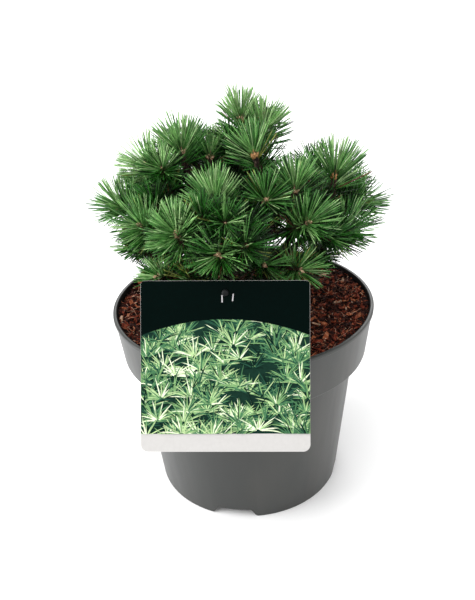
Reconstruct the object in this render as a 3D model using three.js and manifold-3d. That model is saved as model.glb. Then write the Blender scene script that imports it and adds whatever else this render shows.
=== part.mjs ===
// Young mugo pine in its three-litre nursery pot, with a plant label pegged into the soil.
// Units are millimetres, +Z is up and the front is -Y.
// The origin is the centre of the pot's flat underside.

import * as THREE from "three";
import { mergeVertices } from "three/addons/utils/BufferGeometryUtils.js";
import Module from "manifold-3d";

const wasm = await Module();
wasm.setup();

// ---------------------------------------------------------------- driving dimensions

const GAP = 0.3; // clear space between neighbouring pieces
const PAST = 1; // how far a cutting shape runs past the face that it cuts
const SMALL_SIDES = 8; // sides of small round things
const MERGE_DISTANCE = 1e-4; // corners nearer than this are one corner

const POT = {
  height: 146,
  rimRadius: 95,
  lipHeight: 2.6, // bead that runs round the mouth
  lipOverhang: 0.9,
  lipEdge: 1, // bevel at the top of the bead
  collarHeight: 35.5, // upper band, measured down from the mouth
  collarRadius: 90.2, // outside, at the lower edge of the band
  bodyRadius: 81.8, // outside, just under the band
  baseRadius: 70.5,
  baseChamfer: 1.5,
  wall: 2,
  floor: 2,
  sides: 40,
};

const DRAIN = {
  count: 4,
  firstBearing: -10.5, // degrees from the front, + to the right
  width: 32.5,
  topWidth: 25,
  height: 7.2,
  innerRadius: 46,
  holeRadius: 4,
  holeAt: 57,
};

// The soil nearly fills the pot at its wall and dips to a level place round the trunk.
const SOIL = { edgeHeight: 141.5, crownHeight: 140, crownRadius: 26 };

const LABEL = {
  width: 105,
  height: 106,
  thickness: 0.8,
  topCorner: 2.6,
  bottomCorner: 4.5,
  lean: 28, // degrees back from upright
  turn: 2.3, // degrees, right side lower
  offset: -12.6, // centre, left of the pot's middle
  centreHeight: 148.7,
  holeRadius: 2,
  holeDrop: 7.6, // hole centre below the top edge
};

const PEG = {
  rodRadius: 2,
  pinRadius: 1.6,
  behind: 5.6, // rod axis behind the card
  headRadius: 2.2,
  headLength: 1.8,
  buried: 45, // length of rod in the soil
};

const TRUNK = {
  flareRadius: 9.5,
  stemRadius: 6,
  tipRadius: 2.4,
  flareShare: 0.16, // share of the length taken by the root flare
  straightEnd: 6, // length over which the foot stands upright and the tip follows the leader
  bend: new THREE.Vector3(7, 5, 186), // middle of the stem, bowed to the right
  steps: 8,
  sides: 8,
};

const BOUGH = { footRadius: 2.6, tipRadius: 2.1, steps: 4, pathSteps: 8, sides: 5 };

// The flattest boughs leave the trunk at `low` and the steepest at `high`. Each takes the nearest
// free height to that, bent towards its shoot over one of the given shares of its length.
const BRANCHING = {
  low: 153,
  high: 200,
  lowRise: 14,
  highRise: 80,
  heightStep: 2,
  steps: 9,
  bends: [0.5, 0.35, 0.65],
};

const STEM = { length: 50, radius: 2.1, budRadius: 2.6, budLength: 7, sides: 5 };

// The needles stand so thick about a stem that their inner ends close up into a core, which
// swells between the bare foot and the bud, at these shares of the stem's length.
const CORE = { bareShare: 0.1, ringShares: [0.34, 0.68], radii: [7, 6, 5, 4, 3], space: 0.5 };

// A side twig has this share of a main stem's length and leaves it between `from` and `to`.
const TWIG = {
  share: 0.62,
  minSpread: 38,
  maxSpread: 58,
  from: 0.3,
  to: 0.55,
  tries: 30,
  tested: [0.6, 1], // places along a twig where the room round it is tested
  seed: 100,
};

const NEEDLE = {
  length: 29,
  radius: 1.7,
  sides: 3,
  perMillimetre: 0.37, // needles for each millimetre of stem
  lowSpread: 74, // degrees from the stem, at its foot
  topSpread: 21, // and beside the bud
  firstAt: 0.1,
  lastAt: 0.92,
  lengthJitter: 0.14,
  angleJitter: 9,
  shares: [1, 0.84, 0.68, 0.52], // lengths tried, longest first
  tested: [0.4, 0.6, 0.8, 1], // places along a needle where its space is tested
  seed: 500,
};

// Least space that a needle or a bough leaves to what is not its own, and a needle to the soil.
const CLEARANCE = { needle: 0.7, limb: 0.9, soil: 3 };

const GOLDEN_ANGLE = 137.508;

const FORK = new THREE.Vector3(0, 0, 170); // the point that buds are measured from

// One entry a shoot: the bearing of its bud from the front (+ to the right), its rise above the
// level and its reach, all from the fork, then the bearing and rise that the shoot itself points
// in, and how many side twigs it may carry. The leader stands on the trunk's own tip.
const SHOOTS = [
  { name: "leader", bearing: 172, rise: 77, reach: 110, aim: [-60, 85], twigs: 1 },
  { name: "top_right", bearing: 134, rise: 74, reach: 103, aim: [100, 70], twigs: 1 },
  { name: "top_front", bearing: 34, rise: 79, reach: 94, aim: [-70, 72], twigs: 0 },
  { name: "top_left", bearing: -106, rise: 78, reach: 89, aim: [0, 85], twigs: 0 },
  { name: "left_upper", bearing: -90, rise: 68, reach: 100, aim: [-90, 80], twigs: 1 },
  { name: "left_middle", bearing: -94, rise: 52, reach: 103, aim: [-80, 48], twigs: 2 },
  { name: "left_outer", bearing: -83, rise: 34, reach: 103, aim: [-85, 32], twigs: 0 },
  { name: "left_front", bearing: -62, rise: 35, reach: 92, aim: [-60, 40], twigs: 1 },
  { name: "left_lower", bearing: -74, rise: 22, reach: 88, aim: [-80, 28], twigs: 0 },
  { name: "bottom_left", bearing: -50, rise: 15, reach: 78, aim: [-50, 22], twigs: 1 },
  { name: "front_left", bearing: -33, rise: 38, reach: 93, aim: [-25, 52], twigs: 1 },
  { name: "front_middle", bearing: -20, rise: 58, reach: 83, aim: [-22, 78], twigs: 1 },
  { name: "front_low", bearing: -12, rise: 32, reach: 82, aim: [-14, 32], twigs: 2 },
  { name: "centre_star", bearing: 21, rise: 55, reach: 84, aim: [5, 32], twigs: 0 },
  { name: "centre_low", bearing: 15, rise: 26, reach: 66, aim: [15, 20], twigs: 1 },
  { name: "right_middle", bearing: 51, rise: 57, reach: 87, aim: [40, 80], twigs: 0 },
  { name: "right_upper", bearing: 86, rise: 48, reach: 98, aim: [90, 84], twigs: 1 },
  { name: "right_star", bearing: 42, rise: 39, reach: 87, aim: [38, 30], twigs: 1 },
  { name: "right_lower", bearing: 71, rise: 27, reach: 88, aim: [65, 38], twigs: 0 },
  { name: "right_outer", bearing: 93, rise: 29, reach: 98, aim: [80, 38], twigs: 1 },
  { name: "bottom_right", bearing: 36, rise: 18, reach: 71, aim: [30, 10], twigs: 1 },
  { name: "back_top", bearing: 180, rise: 51, reach: 87, aim: [180, 62], twigs: 2 },
  { name: "back_left_upper", bearing: -118, rise: 38, reach: 94, aim: [-118, 45], twigs: 2 },
  { name: "back_left", bearing: -150, rise: 37, reach: 87, aim: [-150, 42], twigs: 2 },
  { name: "back_left_lower", bearing: -128, rise: 16, reach: 90, aim: [-125, 22], twigs: 2 },
  { name: "back_lower", bearing: -170, rise: 17, reach: 85, aim: [-172, 22], twigs: 2 },
  { name: "back_right", bearing: 150, rise: 24, reach: 86, aim: [150, 30], twigs: 2 },
  { name: "back_right_upper", bearing: 120, rise: 24, reach: 90, aim: [120, 32], twigs: 2 },
];

const MATERIALS = {
  pot: { color: 0x5d615f, roughness: 0.5 },
  soil: { color: 0x6b3a24, roughness: 1 },
  label: { color: 0xe9ecea, roughness: 0.4 },
  peg: { color: 0x17191a, roughness: 0.35 },
  trunk: { color: 0x4a3a30, roughness: 0.95 },
  bough: { color: 0x3b2f2a, roughness: 0.95 },
  needles: { color: 0x3c7a34, roughness: 0.6 },
};

// ---------------------------------------------------------------- small helpers

const { cos, sin, max, min } = Math;
const radians = THREE.MathUtils.degToRad;
const lerp = THREE.MathUtils.lerp;

/** Unit vector at a bearing from the front (+ to the right) and a rise above the level. */
function direction(bearing, rise) {
  const level = cos(radians(rise));
  return new THREE.Vector3(
    level * sin(radians(bearing)),
    -level * cos(radians(bearing)),
    sin(radians(rise)),
  );
}

/** Repeatable random numbers from 0 to 1 (mulberry32). */
function seededRandom(seed) {
  let state = seed;
  return () => {
    state = (state + 0x6d2b79f5) | 0;
    let mixed = Math.imul(state ^ (state >>> 15), 1 | state);
    mixed = (mixed + Math.imul(mixed ^ (mixed >>> 7), 61 | mixed)) ^ mixed;
    return ((mixed ^ (mixed >>> 14)) >>> 0) / 4294967296;
  };
}

/** The geometry with its vertices merged, as a solid that can be joined and cut. */
function toSolid(geometry) {
  const bare = geometry.clone();
  bare.deleteAttribute("normal");
  bare.deleteAttribute("uv");
  const merged = mergeVertices(bare, MERGE_DISTANCE);
  const corners = Array.from(merged.index.array);
  const triVerts = [];
  for (let i = 0; i < corners.length; i += 3) {
    const [a, b, c] = corners.slice(i, i + 3);
    if (a !== b && b !== c && c !== a) triVerts.push(a, b, c);
  }
  return new wasm.Manifold(
    new wasm.Mesh({
      numProp: 3,
      vertProperties: Float32Array.from(merged.attributes.position.array),
      triVerts: Uint32Array.from(triVerts),
    }),
  );
}

/** A named mesh of a solid, with a material of its own. */
function toMesh(name, solid, look) {
  const { vertProperties, triVerts } = solid.getMesh();
  const geometry = new THREE.BufferGeometry();
  geometry.setAttribute("position", new THREE.BufferAttribute(vertProperties, 3));
  geometry.setIndex(new THREE.BufferAttribute(triVerts, 1));
  geometry.computeVertexNormals();
  const mesh = new THREE.Mesh(geometry, new THREE.MeshStandardMaterial({ ...look, metalness: 0 }));
  mesh.name = name;
  return mesh;
}

/** A closed body of revolution about the Z axis through [radius, height] pairs. */
function lathe(profile, sides) {
  const points = profile.map(([radius, height]) => new THREE.Vector2(radius, height));
  return toSolid(new THREE.LatheGeometry(points, sides).rotateX(Math.PI / 2));
}

/** A round limb along a curve, its radius given for each share of the curve's length. */
function limb(curve, radiusAt, steps, sides) {
  const geometry = new THREE.CylinderGeometry(1, 1, 1, sides, steps);
  const frames = curve.computeFrenetFrames(steps, false);
  const position = geometry.attributes.position;
  const vertex = new THREE.Vector3();
  for (let i = 0; i < position.count; i += 1) {
    vertex.fromBufferAttribute(position, i);
    const step = Math.round((vertex.y + 0.5) * steps);
    const radius = radiusAt(step / steps);
    const across = frames.normals[step].clone().multiplyScalar(vertex.x * radius);
    const along = frames.binormals[step].clone().multiplyScalar(-vertex.z * radius);
    const place = curve.getPointAt(step / steps).add(across).add(along);
    position.setXYZ(i, place.x, place.y, place.z);
  }
  return toSolid(geometry);
}

/** A cylinder from one point to another. */
function rod(from, to, radius, sides) {
  const axis = to.clone().sub(from);
  const geometry = new THREE.CylinderGeometry(radius, radius, axis.length(), sides);
  return toSolid(aimed(geometry, from, axis));
}

/** Geometry that stands centred on its own Y axis, laid from a point along an axis. */
function aimed(geometry, from, axis) {
  const turn = new THREE.Quaternion().setFromUnitVectors(
    new THREE.Vector3(0, 1, 0),
    axis.clone().normalize(),
  );
  const middle = from.clone().addScaledVector(axis, 0.5);
  return geometry.applyQuaternion(turn).translate(middle.x, middle.y, middle.z);
}

/** Distance from a point to the nearest stretch of a path of points. */
function distanceToPath(point, path) {
  const stretch = new THREE.Line3();
  const nearest = new THREE.Vector3();
  let best = Infinity;
  for (let i = 1; i < path.length; i += 1) {
    stretch.set(path[i - 1], path[i]).closestPointToPoint(point, true, nearest);
    best = min(best, nearest.distanceTo(point));
  }
  return best;
}

// ---------------------------------------------------------------- pot and soil

const collarBottom = POT.height - POT.collarHeight;
const collarTopRadius = POT.rimRadius - POT.lipOverhang;
const innerMouthRadius = collarTopRadius - POT.wall;

/** Outside radius of the pot's body at a height below the collar. */
function bodyRadiusAt(height) {
  return lerp(POT.baseRadius, POT.bodyRadius, height / collarBottom);
}

/** Outside radius of the collar at a height above its lower edge. */
function collarRadiusAt(height) {
  return lerp(POT.collarRadius, collarTopRadius, (height - collarBottom) / POT.collarHeight);
}

/** [radius, height] pairs up the outside, from the middle of the underside to the mouth. */
function outerProfile() {
  return [
    [0, 0],
    [POT.baseRadius - POT.baseChamfer, 0],
    [bodyRadiusAt(POT.baseChamfer), POT.baseChamfer],
    [POT.bodyRadius, collarBottom],
    [POT.collarRadius, collarBottom],
    [collarTopRadius, POT.height - POT.lipHeight],
    [POT.rimRadius, POT.height - POT.lipHeight],
    [POT.rimRadius, POT.height - POT.lipEdge],
    [POT.rimRadius - POT.lipEdge, POT.height],
  ];
}

/** [radius, height] pairs down the inside wall, drawn in by `clear` and filled up to `top`. */
function innerProfile(top, clear) {
  const shelf = collarBottom + POT.wall;
  const inset = POT.wall + clear;
  return [
    [collarRadiusAt(top) - inset, top],
    [POT.collarRadius - inset, shelf + clear],
    [POT.bodyRadius - inset, shelf + clear],
    [bodyRadiusAt(POT.floor + clear) - inset, POT.floor + clear],
    [0, POT.floor + clear],
  ];
}

/** One drainage channel, pointing to the front along -Y, larger by `grow` all over. */
function drainChannel(grow) {
  const halfFoot = DRAIN.width / 2 + grow;
  const halfTop = DRAIN.topWidth / 2 + grow;
  const outline = new THREE.Shape([
    new THREE.Vector2(-halfFoot, -PAST),
    new THREE.Vector2(halfFoot, -PAST),
    new THREE.Vector2(halfTop, DRAIN.height + grow),
    new THREE.Vector2(-halfTop, DRAIN.height + grow),
  ]);
  const inner = DRAIN.innerRadius - grow;
  const depth = POT.rimRadius - inner;
  const geometry = new THREE.ExtrudeGeometry(outline, { depth, bevelEnabled: false });
  return toSolid(geometry.rotateX(Math.PI / 2).translate(0, -inner, 0));
}

/** The same solid repeated at every drainage channel round the pot. */
function roundTheBase(solid) {
  const copies = [];
  for (let i = 0; i < DRAIN.count; i += 1) {
    copies.push(solid.rotate([0, 0, DRAIN.firstBearing + (360 / DRAIN.count) * i]));
  }
  return wasm.Manifold.union(copies);
}

/** A thin-walled pot with drainage channels moulded up under its floor. */
function makePot() {
  const shell = lathe([...outerProfile(), ...innerProfile(POT.height, 0)], POT.sides);
  const filled = lathe([...outerProfile(), [0, POT.height]], POT.sides);
  const roofs = roundTheBase(drainChannel(POT.wall)).intersect(filled);
  const below = new THREE.Vector3(0, -DRAIN.holeAt, DRAIN.height - PAST);
  const above = new THREE.Vector3(0, -DRAIN.holeAt, DRAIN.height + POT.wall + PAST);
  const holes = roundTheBase(rod(below, above, DRAIN.holeRadius, SMALL_SIDES));
  const pot = shell.add(roofs).subtract(roundTheBase(drainChannel(0))).subtract(holes);
  return toMesh("pot", pot, MATERIALS.pot);
}

/** Soil that fills the pot, with a socket for the peg's rod. */
function makeSoil(socket) {
  const fill = lathe(
    [
      ...innerProfile(SOIL.edgeHeight, GAP).reverse(),
      [SOIL.crownRadius, SOIL.crownHeight],
      [0, SOIL.crownHeight],
    ],
    POT.sides,
  );
  const roofs = roundTheBase(drainChannel(POT.wall + GAP));
  return toMesh("soil", fill.subtract(roofs).subtract(socket), MATERIALS.soil);
}

// ---------------------------------------------------------------- label and its peg

const labelNormal = new THREE.Vector3(0, -cos(radians(LABEL.lean)), sin(radians(LABEL.lean)));
const labelUp = new THREE.Vector3(0, sin(radians(LABEL.lean)), cos(radians(LABEL.lean)));

/** How far along the label's normal its back lies: just clear of the pot's front edge. */
function labelBack() {
  const reach = ([radius, height]) => radius * -labelNormal.y + height * labelNormal.z;
  return max(...outerProfile().map(reach)) + GAP;
}

/** The middle of the card, half its thickness in front of its back. */
function labelCentre() {
  const offset = labelBack() + LABEL.thickness / 2;
  const y = (offset - LABEL.centreHeight * labelNormal.z) / labelNormal.y;
  return new THREE.Vector3(LABEL.offset, y, LABEL.centreHeight);
}

/** The card's outline about its own centre, with the hole for the pin. */
function labelOutline() {
  const { width, height, topCorner, bottomCorner } = LABEL;
  const [x, y] = [width / 2, height / 2];
  const outline = new THREE.Shape();
  outline.moveTo(-x + bottomCorner, -y);
  outline.absarc(x - bottomCorner, -y + bottomCorner, bottomCorner, -Math.PI / 2, 0);
  outline.absarc(x - topCorner, y - topCorner, topCorner, 0, Math.PI / 2);
  outline.absarc(-x + topCorner, y - topCorner, topCorner, Math.PI / 2, Math.PI);
  outline.absarc(-x + bottomCorner, -y + bottomCorner, bottomCorner, Math.PI, 1.5 * Math.PI);
  const hole = new THREE.Path();
  hole.absarc(0, y - LABEL.holeDrop, LABEL.holeRadius, 0, 2 * Math.PI, true);
  outline.holes.push(hole);
  return outline;
}

/** The card, leaning back on the pot's front edge. */
function makeLabel() {
  const depth = LABEL.thickness;
  const options = { depth, bevelEnabled: false, curveSegments: 4 };
  const geometry = new THREE.ExtrudeGeometry(labelOutline(), options).translate(0, 0, -depth / 2);
  const label = toMesh("label", toSolid(geometry), MATERIALS.label);
  label.position.copy(labelCentre());
  label.rotation.set(radians(90 - LABEL.lean), 0, radians(-LABEL.turn));
  return label;
}

/** Centre of the label's hole, half way through the card. */
function labelHole() {
  const up = LABEL.height / 2 - LABEL.holeDrop;
  const right = new THREE.Vector3(up * sin(radians(LABEL.turn)), 0, 0);
  return labelCentre().addScaledVector(labelUp, up * cos(radians(LABEL.turn))).add(right);
}

/** Height of the card's highest corner. */
function labelTop() {
  const up = LABEL.height / 2 + (LABEL.width / 2) * sin(radians(LABEL.turn));
  return LABEL.centreHeight + up * labelUp.z;
}

const pegTop = labelHole().addScaledVector(labelNormal, -PEG.behind);
const pegFoot = new THREE.Vector3(pegTop.x, pegTop.y, SOIL.edgeHeight - PEG.buried);

/** A rod in the soil with a pin through the card's hole and a round head in front. */
function makePeg() {
  const hole = labelHole();
  const face = hole.clone().addScaledVector(labelNormal, LABEL.thickness / 2 + GAP);
  const front = face.clone().addScaledVector(labelNormal, PEG.headLength);
  const rodTop = pegTop.clone().add(new THREE.Vector3(0, 0, PEG.pinRadius));
  const peg = rod(pegFoot, rodTop, PEG.rodRadius, SMALL_SIDES)
    .add(rod(pegTop, front, PEG.pinRadius, SMALL_SIDES))
    .add(rod(face, front, PEG.headRadius, SMALL_SIDES));
  return toMesh("label_peg", peg, MATERIALS.peg);
}

/** The space that the buried rod needs in the soil. */
function pegSocket() {
  const bottom = pegFoot.clone().add(new THREE.Vector3(0, 0, -GAP));
  const top = new THREE.Vector3(pegFoot.x, pegFoot.y, POT.height);
  return rod(bottom, top, PEG.rodRadius + GAP, SMALL_SIDES);
}

// ---------------------------------------------------------------- trunk, boughs and stems

/** Where a shoot's bud ends, the way it points and where its needled stem begins. */
function placeShoot(shoot) {
  const tip = FORK.clone().addScaledVector(direction(shoot.bearing, shoot.rise), shoot.reach);
  const axis = direction(...shoot.aim);
  const foot = tip.clone().addScaledVector(axis, -STEM.length);
  return { ...shoot, tip, axis, foot };
}

const shoots = SHOOTS.map(placeShoot);
const [leader, ...boughShoots] = shoots;

const trunkFoot = new THREE.Vector3(0, 0, SOIL.crownHeight + GAP);
const trunkTip = leader.foot.clone().addScaledVector(leader.axis, -GAP);
const trunkCurve = new THREE.CatmullRomCurve3([
  trunkFoot,
  trunkFoot.clone().add(new THREE.Vector3(0, 0, TRUNK.straightEnd)),
  TRUNK.bend,
  trunkTip.clone().addScaledVector(leader.axis, -TRUNK.straightEnd),
  trunkTip,
]);

/** Radius of the trunk at a share of its length: root flare, then an even taper. */
function trunkRadius(share) {
  const taper = lerp(TRUNK.stemRadius, TRUNK.tipRadius, share);
  const flare = max(0, 1 - share / TRUNK.flareShare);
  return taper + (TRUNK.flareRadius - TRUNK.stemRadius) * flare * flare;
}

/** Share of the trunk's length at a height. */
function trunkShareAt(height) {
  return (height - trunkFoot.z) / (trunkTip.z - trunkFoot.z);
}

/** The bough's line from the trunk's middle to where its needled stem begins. */
function boughCurve(shoot, height, bendShare) {
  const root = trunkCurve.getPoint(trunkShareAt(height));
  const end = shoot.foot.clone().addScaledVector(shoot.axis, -GAP);
  const bend = end.clone().addScaledVector(shoot.axis, -bendShare * root.distanceTo(end));
  return new THREE.QuadraticBezierCurve3(root, bend, end);
}

/** The lines that a bough may take, those nearest to the height its rise asks for first. */
function boughCurves(shoot) {
  const share = (shoot.rise - BRANCHING.lowRise) / (BRANCHING.highRise - BRANCHING.lowRise);
  const wanted = lerp(BRANCHING.low, BRANCHING.high, share);
  const curves = [];
  for (let i = 0; i <= 2 * BRANCHING.steps; i += 1) {
    const shift = Math.ceil(i / 2) * (i % 2 ? 1 : -1) * BRANCHING.heightStep;
    const height = max(BRANCHING.low, min(BRANCHING.high, wanted + shift));
    curves.push(...BRANCHING.bends.map((bendShare) => boughCurve(shoot, height, bendShare)));
  }
  return curves;
}

/** Least space between a line outside the trunk and the other stems and boughs. */
function spaceRound(curve, shoot, laid) {
  const points = curve.getSpacedPoints(BOUGH.pathSteps);
  const outside = points.filter((point) => distanceToPath(point, trunkPath) > TRUNK.stemRadius);
  const others = shoots.filter((other) => other !== shoot);
  const spaces = outside.map((point) => {
    const toStems = others.map((other) => {
      return distanceToPath(point, [other.foot, other.tip]) - STEM.budRadius;
    });
    const toBoughs = laid.map((path) => distanceToPath(point, path) - BOUGH.footRadius);
    return min(...toStems, ...toBoughs) - BOUGH.footRadius;
  });
  return min(Infinity, ...spaces);
}

/** Lays each bough along the first line with room round it, or else the one with most room. */
function layOutBoughs() {
  const laid = [];
  for (const shoot of boughShoots) {
    const curves = boughCurves(shoot);
    const spaces = curves.map((curve) => spaceRound(curve, shoot, laid));
    const first = spaces.findIndex((space) => space > CLEARANCE.limb);
    const chosen = first >= 0 ? first : spaces.indexOf(max(...spaces));
    shoot.curve = curves[chosen];
    shoot.path = shoot.curve.getSpacedPoints(BOUGH.pathSteps);
    laid.push(shoot.path);
  }
}

const trunkPath = trunkCurve.getSpacedPoints(TRUNK.steps);
layOutBoughs();

/** The stem from its flat foot on the soil to the leader. */
function makeTrunk() {
  const trunk = limb(trunkCurve, trunkRadius, TRUNK.steps, TRUNK.sides);
  return toMesh("trunk", trunk, MATERIALS.trunk);
}

/** A bough's limb, larger by `grow` all round. */
function boughLimb(shoot, grow) {
  const radiusAt = (share) => lerp(BOUGH.footRadius, BOUGH.tipRadius, share) + grow;
  return limb(shoot.curve, radiusAt, BOUGH.steps, BOUGH.sides);
}

/** The piece of a cut solid that holds on to the given end. */
function pieceAtEnd(solid, end) {
  const reach = (piece) => {
    const { min: low, max: high } = piece.boundingBox();
    const box = new THREE.Box3(new THREE.Vector3(...low), new THREE.Vector3(...high));
    return box.distanceToPoint(end);
  };
  return solid.decompose().sort((one, two) => reach(one) - reach(two))[0];
}

/** The boughs, each cut with a small gap to the trunk or to an older bough that it forks from. */
function makeBoughs() {
  let older = limb(trunkCurve, (share) => trunkRadius(share) + GAP, TRUNK.steps, TRUNK.sides);
  return boughShoots.map((shoot) => {
    const bough = pieceAtEnd(boughLimb(shoot, 0).subtract(older), shoot.foot);
    older = older.add(boughLimb(shoot, GAP));
    return toMesh(`bough_${shoot.name}`, bough, MATERIALS.bough);
  });
}

// ---------------------------------------------------------------- masses of needles

/** The radius of a stem's core round a point of the stem: the widest that has room there. */
function coreRadius(point, stem, shoot) {
  const others = stems.filter((other) => other.owner !== stem.owner);
  const fits = (radius) => {
    const width = radius + CORE.space;
    const isAlone = others.every((other) => distanceToStem(point, other) > 2 * width);
    return isAlone && isClear(point, shoot, width);
  };
  return CORE.radii.find(fits) ?? STEM.radius;
}

/** The solid of one stem: a bare foot, a core of close needles and a bud at the end. */
function stemSolid(stem, shoot) {
  const axis = stem.to.clone().sub(stem.from);
  const length = axis.length();
  const rings = CORE.ringShares.map((share) => {
    const point = stem.from.clone().addScaledVector(axis, share);
    return new THREE.Vector2(coreRadius(point, stem, shoot), share * length);
  });
  const profile = [
    new THREE.Vector2(0, 0),
    new THREE.Vector2(STEM.radius, 0),
    new THREE.Vector2(STEM.radius, CORE.bareShare * length),
    ...rings,
    new THREE.Vector2(STEM.budRadius, length - STEM.budLength),
    new THREE.Vector2(0, length),
  ];
  const geometry = new THREE.LatheGeometry(profile, STEM.sides).translate(0, -length / 2, 0);
  return toSolid(aimed(geometry, stem.from, axis));
}

/** The main stem of a shoot, before any twig has grown from it. */
function mainStem(shoot) {
  return { from: shoot.foot, to: shoot.tip, owner: shoot.name };
}

const stems = shoots.map(mainStem);

/** Distance from a point to one stem. */
function distanceToStem(point, stem) {
  return distanceToPath(point, [stem.from, stem.to]);
}

/** Whether a point is clear of the soil, the pot's wall, the label and its peg. */
function isClearOfPot(point, clear) {
  const fromMiddle = Math.hypot(point.x, point.y);
  const isInWall = point.z < POT.height + clear && fromMiddle > innerMouthRadius - clear;
  const isInLabel = point.z < labelTop() + clear && point.dot(labelNormal) > labelBack() - clear;
  const isInPeg = distanceToPath(point, [pegFoot, pegTop]) < PEG.rodRadius + clear;
  const isInSoil = point.z < SOIL.crownHeight + CLEARANCE.soil;
  return !isInWall && !isInLabel && !isInPeg && !isInSoil;
}

/** Whether a point is clear of the trunk and boughs, and of the pot and all that is in it. */
function isClear(point, shoot, clear) {
  if (!isClearOfPot(point, clear)) return false;
  if (distanceToPath(point, trunkPath) < TRUNK.stemRadius + clear) return false;
  return boughShoots.every((other) => {
    const limit = BOUGH.footRadius + (other === shoot ? 0 : clear);
    return distanceToPath(point, other.path) > limit;
  });
}

/** Whether a straight needle keeps to its own stem's space and clear of all else. */
function keepsToItsSpace(from, to, stem, shoot) {
  const others = stems.filter((other) => other !== stem);
  return NEEDLE.tested.every((share) => {
    const point = from.clone().lerp(to, share);
    const clear = CLEARANCE.needle + NEEDLE.radius * (1 - share);
    const own = distanceToStem(point, stem);
    const isNearest = others.every((other) => distanceToStem(point, other) > own + 2 * clear);
    return isNearest && isClear(point, shoot, clear);
  });
}

/** A direction that leans away from an axis by `spread`, turned round it by `turn` degrees. */
function leaningFrom(axis, spread, turn) {
  const side = new THREE.Vector3(0, 0, 1).cross(axis).normalize();
  const leaning = axis.clone().applyAxisAngle(side, radians(spread));
  return leaning.applyAxisAngle(axis, radians(turn));
}

/** Side twigs grow from the main stem wherever the seeded rule finds room for them. */
function growTwigs(shoot, random) {
  const length = STEM.length * TWIG.share;
  let grown = 0;
  for (let i = 0; i < TWIG.tries && grown < shoot.twigs; i += 1) {
    const from = shoot.foot.clone().lerp(shoot.tip, lerp(TWIG.from, TWIG.to, random()));
    const spread = lerp(TWIG.minSpread, TWIG.maxSpread, random());
    const way = leaningFrom(shoot.axis, spread, 360 * random());
    const to = from.clone().addScaledVector(way, length);
    if (!hasTwigRoom(from, to, shoot)) continue;
    stems.push({ from, to, owner: shoot.name });
    grown += 1;
  }
}

/** Whether a twig has room round it, up to half a needle's length at its end. */
function hasTwigRoom(from, to, shoot) {
  return TWIG.tested.every((share) => {
    const point = from.clone().lerp(to, share);
    const room = (share * NEEDLE.length) / 2;
    return stems.every((stem) => distanceToStem(point, stem) > room) && isClear(point, shoot, room);
  });
}

/** The needles of one stem, wound round it by the golden angle, rooted at its middle. */
function growNeedles(stem, shoot, random) {
  const axis = stem.to.clone().sub(stem.from);
  const count = Math.round(axis.length() * NEEDLE.perMillimetre);
  const needles = [];
  for (let i = 0; i < count; i += 1) {
    const share = (i + 0.5) / count;
    const height = lerp(NEEDLE.firstAt, NEEDLE.lastAt, share);
    const root = stem.from.clone().addScaledVector(axis, height);
    const spread = lerp(NEEDLE.lowSpread, NEEDLE.topSpread, share);
    const lean = spread + NEEDLE.angleJitter * (2 * random() - 1);
    const line = leaningFrom(axis.clone().normalize(), lean, GOLDEN_ANGLE * i);
    line.multiplyScalar(NEEDLE.length * (1 - NEEDLE.lengthJitter * random()));
    const fit = NEEDLE.shares.find((length) => {
      const tip = root.clone().addScaledVector(line, length);
      return keepsToItsSpace(root, tip, stem, shoot);
    });
    if (fit) needles.push(needleSolid(root, line.multiplyScalar(fit)));
  }
  return needles;
}

/** One needle: a three-sided spike whose root lies at the middle of its stem. */
function needleSolid(from, line) {
  const spike = new THREE.ConeGeometry(NEEDLE.radius, line.length(), NEEDLE.sides);
  return toSolid(aimed(spike, from, line));
}

/** The largest body of a solid, without the loose scraps that joining may leave. */
function largestBody(solid) {
  return solid.decompose().sort((one, two) => two.volume() - one.volume())[0];
}

/** A shoot's stems, twigs and needles, joined into one solid. */
function makeNeedles(shoot, index) {
  const random = seededRandom(NEEDLE.seed + index);
  const own = stems.filter((stem) => stem.owner === shoot.name);
  const solids = own.map((stem) => stemSolid(stem, shoot));
  for (const stem of own) {
    solids.push(...growNeedles(stem, shoot, random));
  }
  const mass = largestBody(wasm.Manifold.union(solids));
  return toMesh(`needles_${shoot.name}`, mass, MATERIALS.needles);
}

// ---------------------------------------------------------------- the plant in its pot

shoots.forEach((shoot, index) => growTwigs(shoot, seededRandom(TWIG.seed + index)));

const pottedPine = new THREE.Group();
pottedPine.add(makePot(), makeSoil(pegSocket()), makeLabel(), makePeg(), makeTrunk());
pottedPine.add(...makeBoughs());
shoots.forEach((shoot, index) => pottedPine.add(makeNeedles(shoot, index)));

export default pottedPine;
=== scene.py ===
"""Young mugo pine in its nursery pot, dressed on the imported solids.

The plant grows by the same rule and from the same named sizes as its solids, carried on to
finer twigs, needles in pairs, buds and bark. Sizes are millimetres until a mesh is made.
+Z is up and the front is -Y.
"""

import math
from types import SimpleNamespace as Sizes

import bpy
import numpy as np
from mathutils import Matrix, Vector, noise


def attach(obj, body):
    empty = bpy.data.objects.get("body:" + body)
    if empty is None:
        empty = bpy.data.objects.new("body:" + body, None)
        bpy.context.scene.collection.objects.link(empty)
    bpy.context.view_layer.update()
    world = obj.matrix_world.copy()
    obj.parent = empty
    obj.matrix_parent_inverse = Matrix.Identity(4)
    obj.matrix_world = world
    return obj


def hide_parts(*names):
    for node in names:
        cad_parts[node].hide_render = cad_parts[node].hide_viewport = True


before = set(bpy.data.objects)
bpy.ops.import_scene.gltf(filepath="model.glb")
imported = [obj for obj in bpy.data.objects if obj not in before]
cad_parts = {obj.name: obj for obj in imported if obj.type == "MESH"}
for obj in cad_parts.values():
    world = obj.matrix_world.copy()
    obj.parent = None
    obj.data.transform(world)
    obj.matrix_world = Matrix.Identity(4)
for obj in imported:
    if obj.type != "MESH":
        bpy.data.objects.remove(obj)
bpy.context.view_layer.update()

# ---------------- driving sizes

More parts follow.
